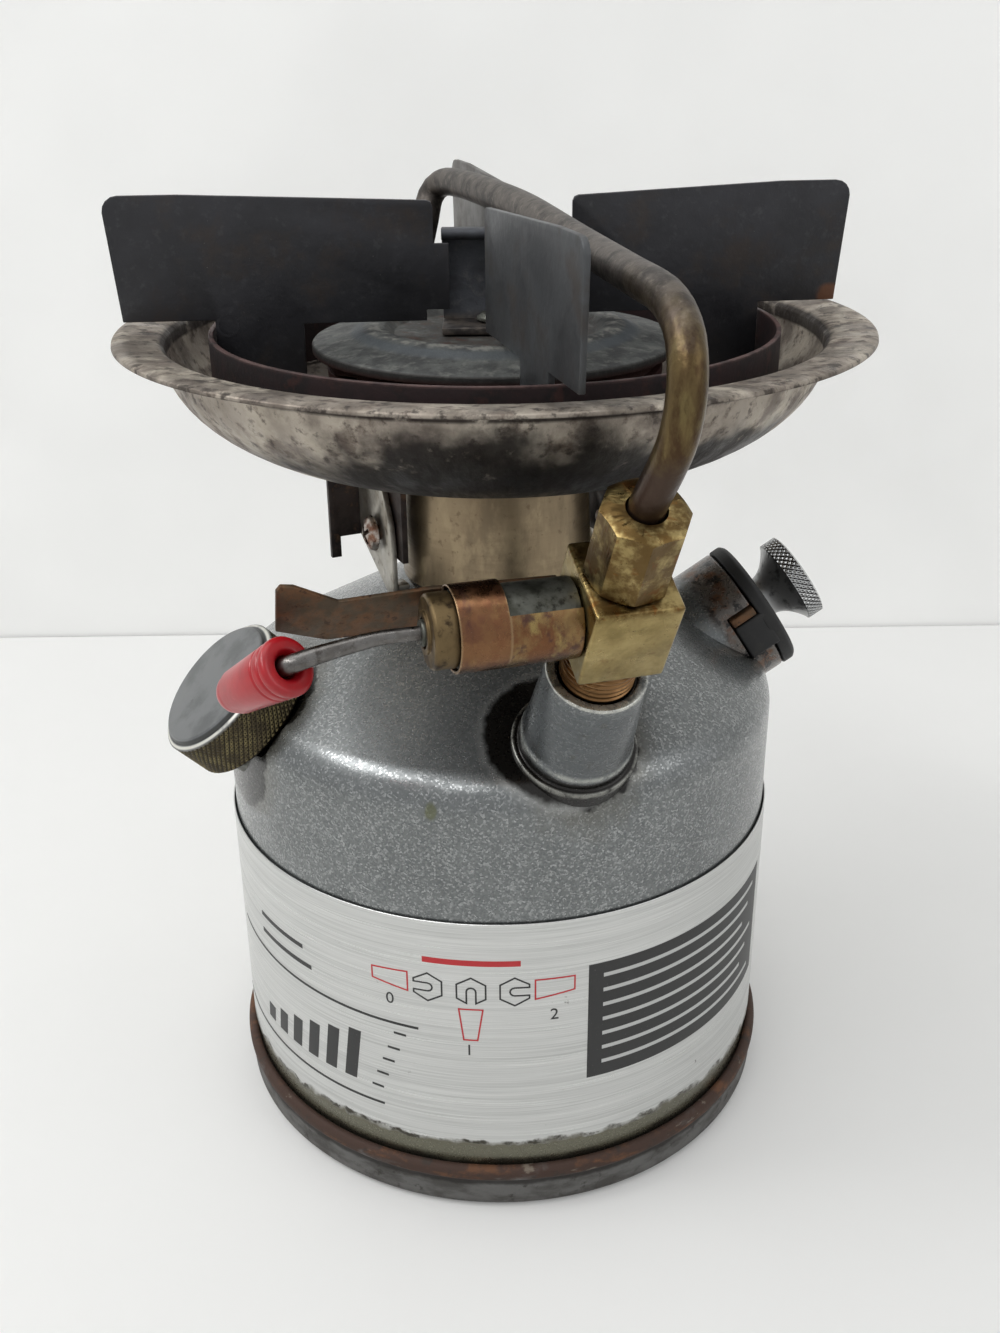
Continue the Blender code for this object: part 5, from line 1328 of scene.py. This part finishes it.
def backdrop_rays(tree):
    """1 for the rays that see the background: straight from the camera, in metal or through glass."""
    seen = add_node(tree, "LightPath", output="Is Camera Ray")
    for other in ("Is Glossy Ray", "Is Transmission Ray"):
        either = {0: seen, 1: add_node(tree, "LightPath", output=other)}
        seen = add_node(tree, "Math", either, operation="MAXIMUM")
    return seen


def studio_paper(name, code):
    """Matt paper: pale, even and without gloss, and clear to a camera that stands behind it."""
    look = Finish(name, 0.8, 0.0, code)
    look.stain("dededc", 120.0, 0.3, 0.7, 0.4)
    look.shader.inputs["Emission Color"].default_value = colour("ffffff")
    behind = look.shared(add_node(look.tree, "LightPath", output="Is Camera Ray"),
                         add_node(look.tree, "NewGeometry", output="Backfacing"))
    lift = bpy.context.scene.stove_stage.lift
    for mask, without, within, socket in ((backdrop_rays(look.tree), 0.0, lift, "Emission Strength"),
                                          (behind, 1.0, 0.0, "Alpha")):
        spread = add_node(look.tree, "MapRange", {"Value": mask, "To Min": without, "To Max": within})
        look.tree.links.new(spread, look.shader.inputs[socket])
    return look.done()


class STOVE_OT_stage(Operator):
    """Set the floor, the backdrop, the soft lamps and the camera"""
    bl_idname = "stove.stage"
    bl_label = "Stage"

    def execute(self, context):
        scene = context.scene
        look = scene.stove_stage
        wall = 211.0
        floor_paper = block((-2000.0, -1200.0, -10.0), (2000.0, wall - 1.0, 0.0), tank_frame)
        wall_paper = block((-2000.0, wall, -10.0), (2000.0, wall + 10.0, 1600.0), tank_frame)
        # One sheet of the wall is left, the side that faces the stove
        others = [face for face in wall_paper.faces if face.normal.y > -0.9]
        bmesh.ops.delete(wall_paper, geom=others, context="FACES")
        for name, code, shape in (("studio_floor", look.floor, floor_paper),
                                  ("studio_backdrop", look.wall, wall_paper)):
            piece = as_object(name, shape)
            piece.data.materials.append(studio_paper("matt_paper_" + name, code))

        world = bpy.data.worlds.new("soft_studio")
        scene.world = world
        world.use_nodes = True
        tree = world.node_tree
        seen = {"Value": backdrop_rays(tree), "To Min": look.room, "To Max": 0.85}
        background = tree.nodes["Background"]
        background.inputs["Color"].default_value = colour("f4f5f6")
        tree.links.new(add_node(tree, "MapRange", seen), background.inputs["Strength"])

        # Places and sizes of lamps are in metres
        for name, place, width, depth, strength in (
            ("key_lamp", (-0.5, -0.45, 1.0), 1.0, 0.26, look.key_power),
            ("fill_lamp", (0.8, -0.45, 0.7), 0.6, 0.6, look.fill_power),
            ("top_lamp", (0.0, 0.1, 1.1), 0.8, 0.8, look.top_power),
            ("sheen_lamp", (-0.74, -0.06, 0.98), 0.4, 0.24, look.sheen_power),
        ):
            lamp = bpy.data.lights.new(name, "AREA")
            lamp.shape = "RECTANGLE"
            lamp.size = width
            lamp.size_y = depth
            lamp.energy = strength
            piece = bpy.data.objects.new(name, lamp)
            piece.location = place
            towards = Vector((0.0, 0.0, 0.08)) - Vector(place)
            piece.rotation_euler = towards.to_track_quat("-Z", "Y").to_euler()
            scene.collection.objects.link(piece)

        yaw, pitch, roll = math.radians(0.45), math.radians(24.75), math.radians(-0.54)
        ahead = Vector((math.sin(yaw) * math.cos(pitch), math.cos(yaw) * math.cos(pitch), -math.sin(pitch)))
        level = Vector((math.cos(yaw), -math.sin(yaw), 0.0))
        above = level.cross(ahead)
        across = level * math.cos(roll) + above * math.sin(roll)
        above = above * math.cos(roll) - level * math.sin(roll)
        camera = bpy.data.objects.new("camera", bpy.data.cameras.new("camera"))
        camera.data.sensor_fit = "VERTICAL"
        camera.data.sensor_height = 36.0
        camera.data.lens = 36.97
        camera.data.clip_start = 0.01
        camera.matrix_world = Matrix.LocRotScale(
            Vector((-1.5, -234.9, 191.5)) * mm, Matrix((across, above, -ahead)).transposed(), None)
        scene.collection.objects.link(camera)
        scene.camera = camera
        scene.view_settings.view_transform = "Standard"
        return {"FINISHED"}


builders = (
    STOVE_OT_tank, STOVE_OT_label, STOVE_OT_valve, STOVE_OT_lever, STOVE_OT_generator, STOVE_OT_filler,
    STOVE_OT_pump, STOVE_OT_brackets, STOVE_OT_pan, STOVE_OT_burner, STOVE_OT_vanes, STOVE_OT_inside,
    STOVE_OT_stage,
)


class STOVE_PT_panel(Panel):
    """Sizes, colours and builders of the stove"""
    bl_idname = "STOVE_PT_panel"
    bl_label = "Stove"
    bl_space_type = "VIEW_3D"
    bl_region_type = "UI"
    bl_category = "Stove"

    def draw(self, context):
        for group in (context.scene.stove_sizes, context.scene.stove_colours, context.scene.stove_stage):
            box = self.layout.box()
            for name in group.__annotations__:
                box.prop(group, name)
        for builder in builders:
            self.layout.operator(builder.bl_idname)


classes = (StoveSizes, StoveColours, StoveStage, *builders, STOVE_PT_panel)


def register():
    for kind in classes:
        bpy.utils.register_class(kind)
    bpy.types.Scene.stove_sizes = PointerProperty(type=StoveSizes)
    bpy.types.Scene.stove_colours = PointerProperty(type=StoveColours)
    bpy.types.Scene.stove_stage = PointerProperty(type=StoveStage)


def unregister():
    del bpy.types.Scene.stove_stage
    del bpy.types.Scene.stove_colours
    del bpy.types.Scene.stove_sizes
    for kind in reversed(classes):
        bpy.utils.unregister_class(kind)


def main():
    register()
    for builder in builders:
        group, action = builder.bl_idname.split(".")
        getattr(getattr(bpy.ops, group), action)()
    bpy.context.view_layer.update()


if __name__ == "__main__":
    main()
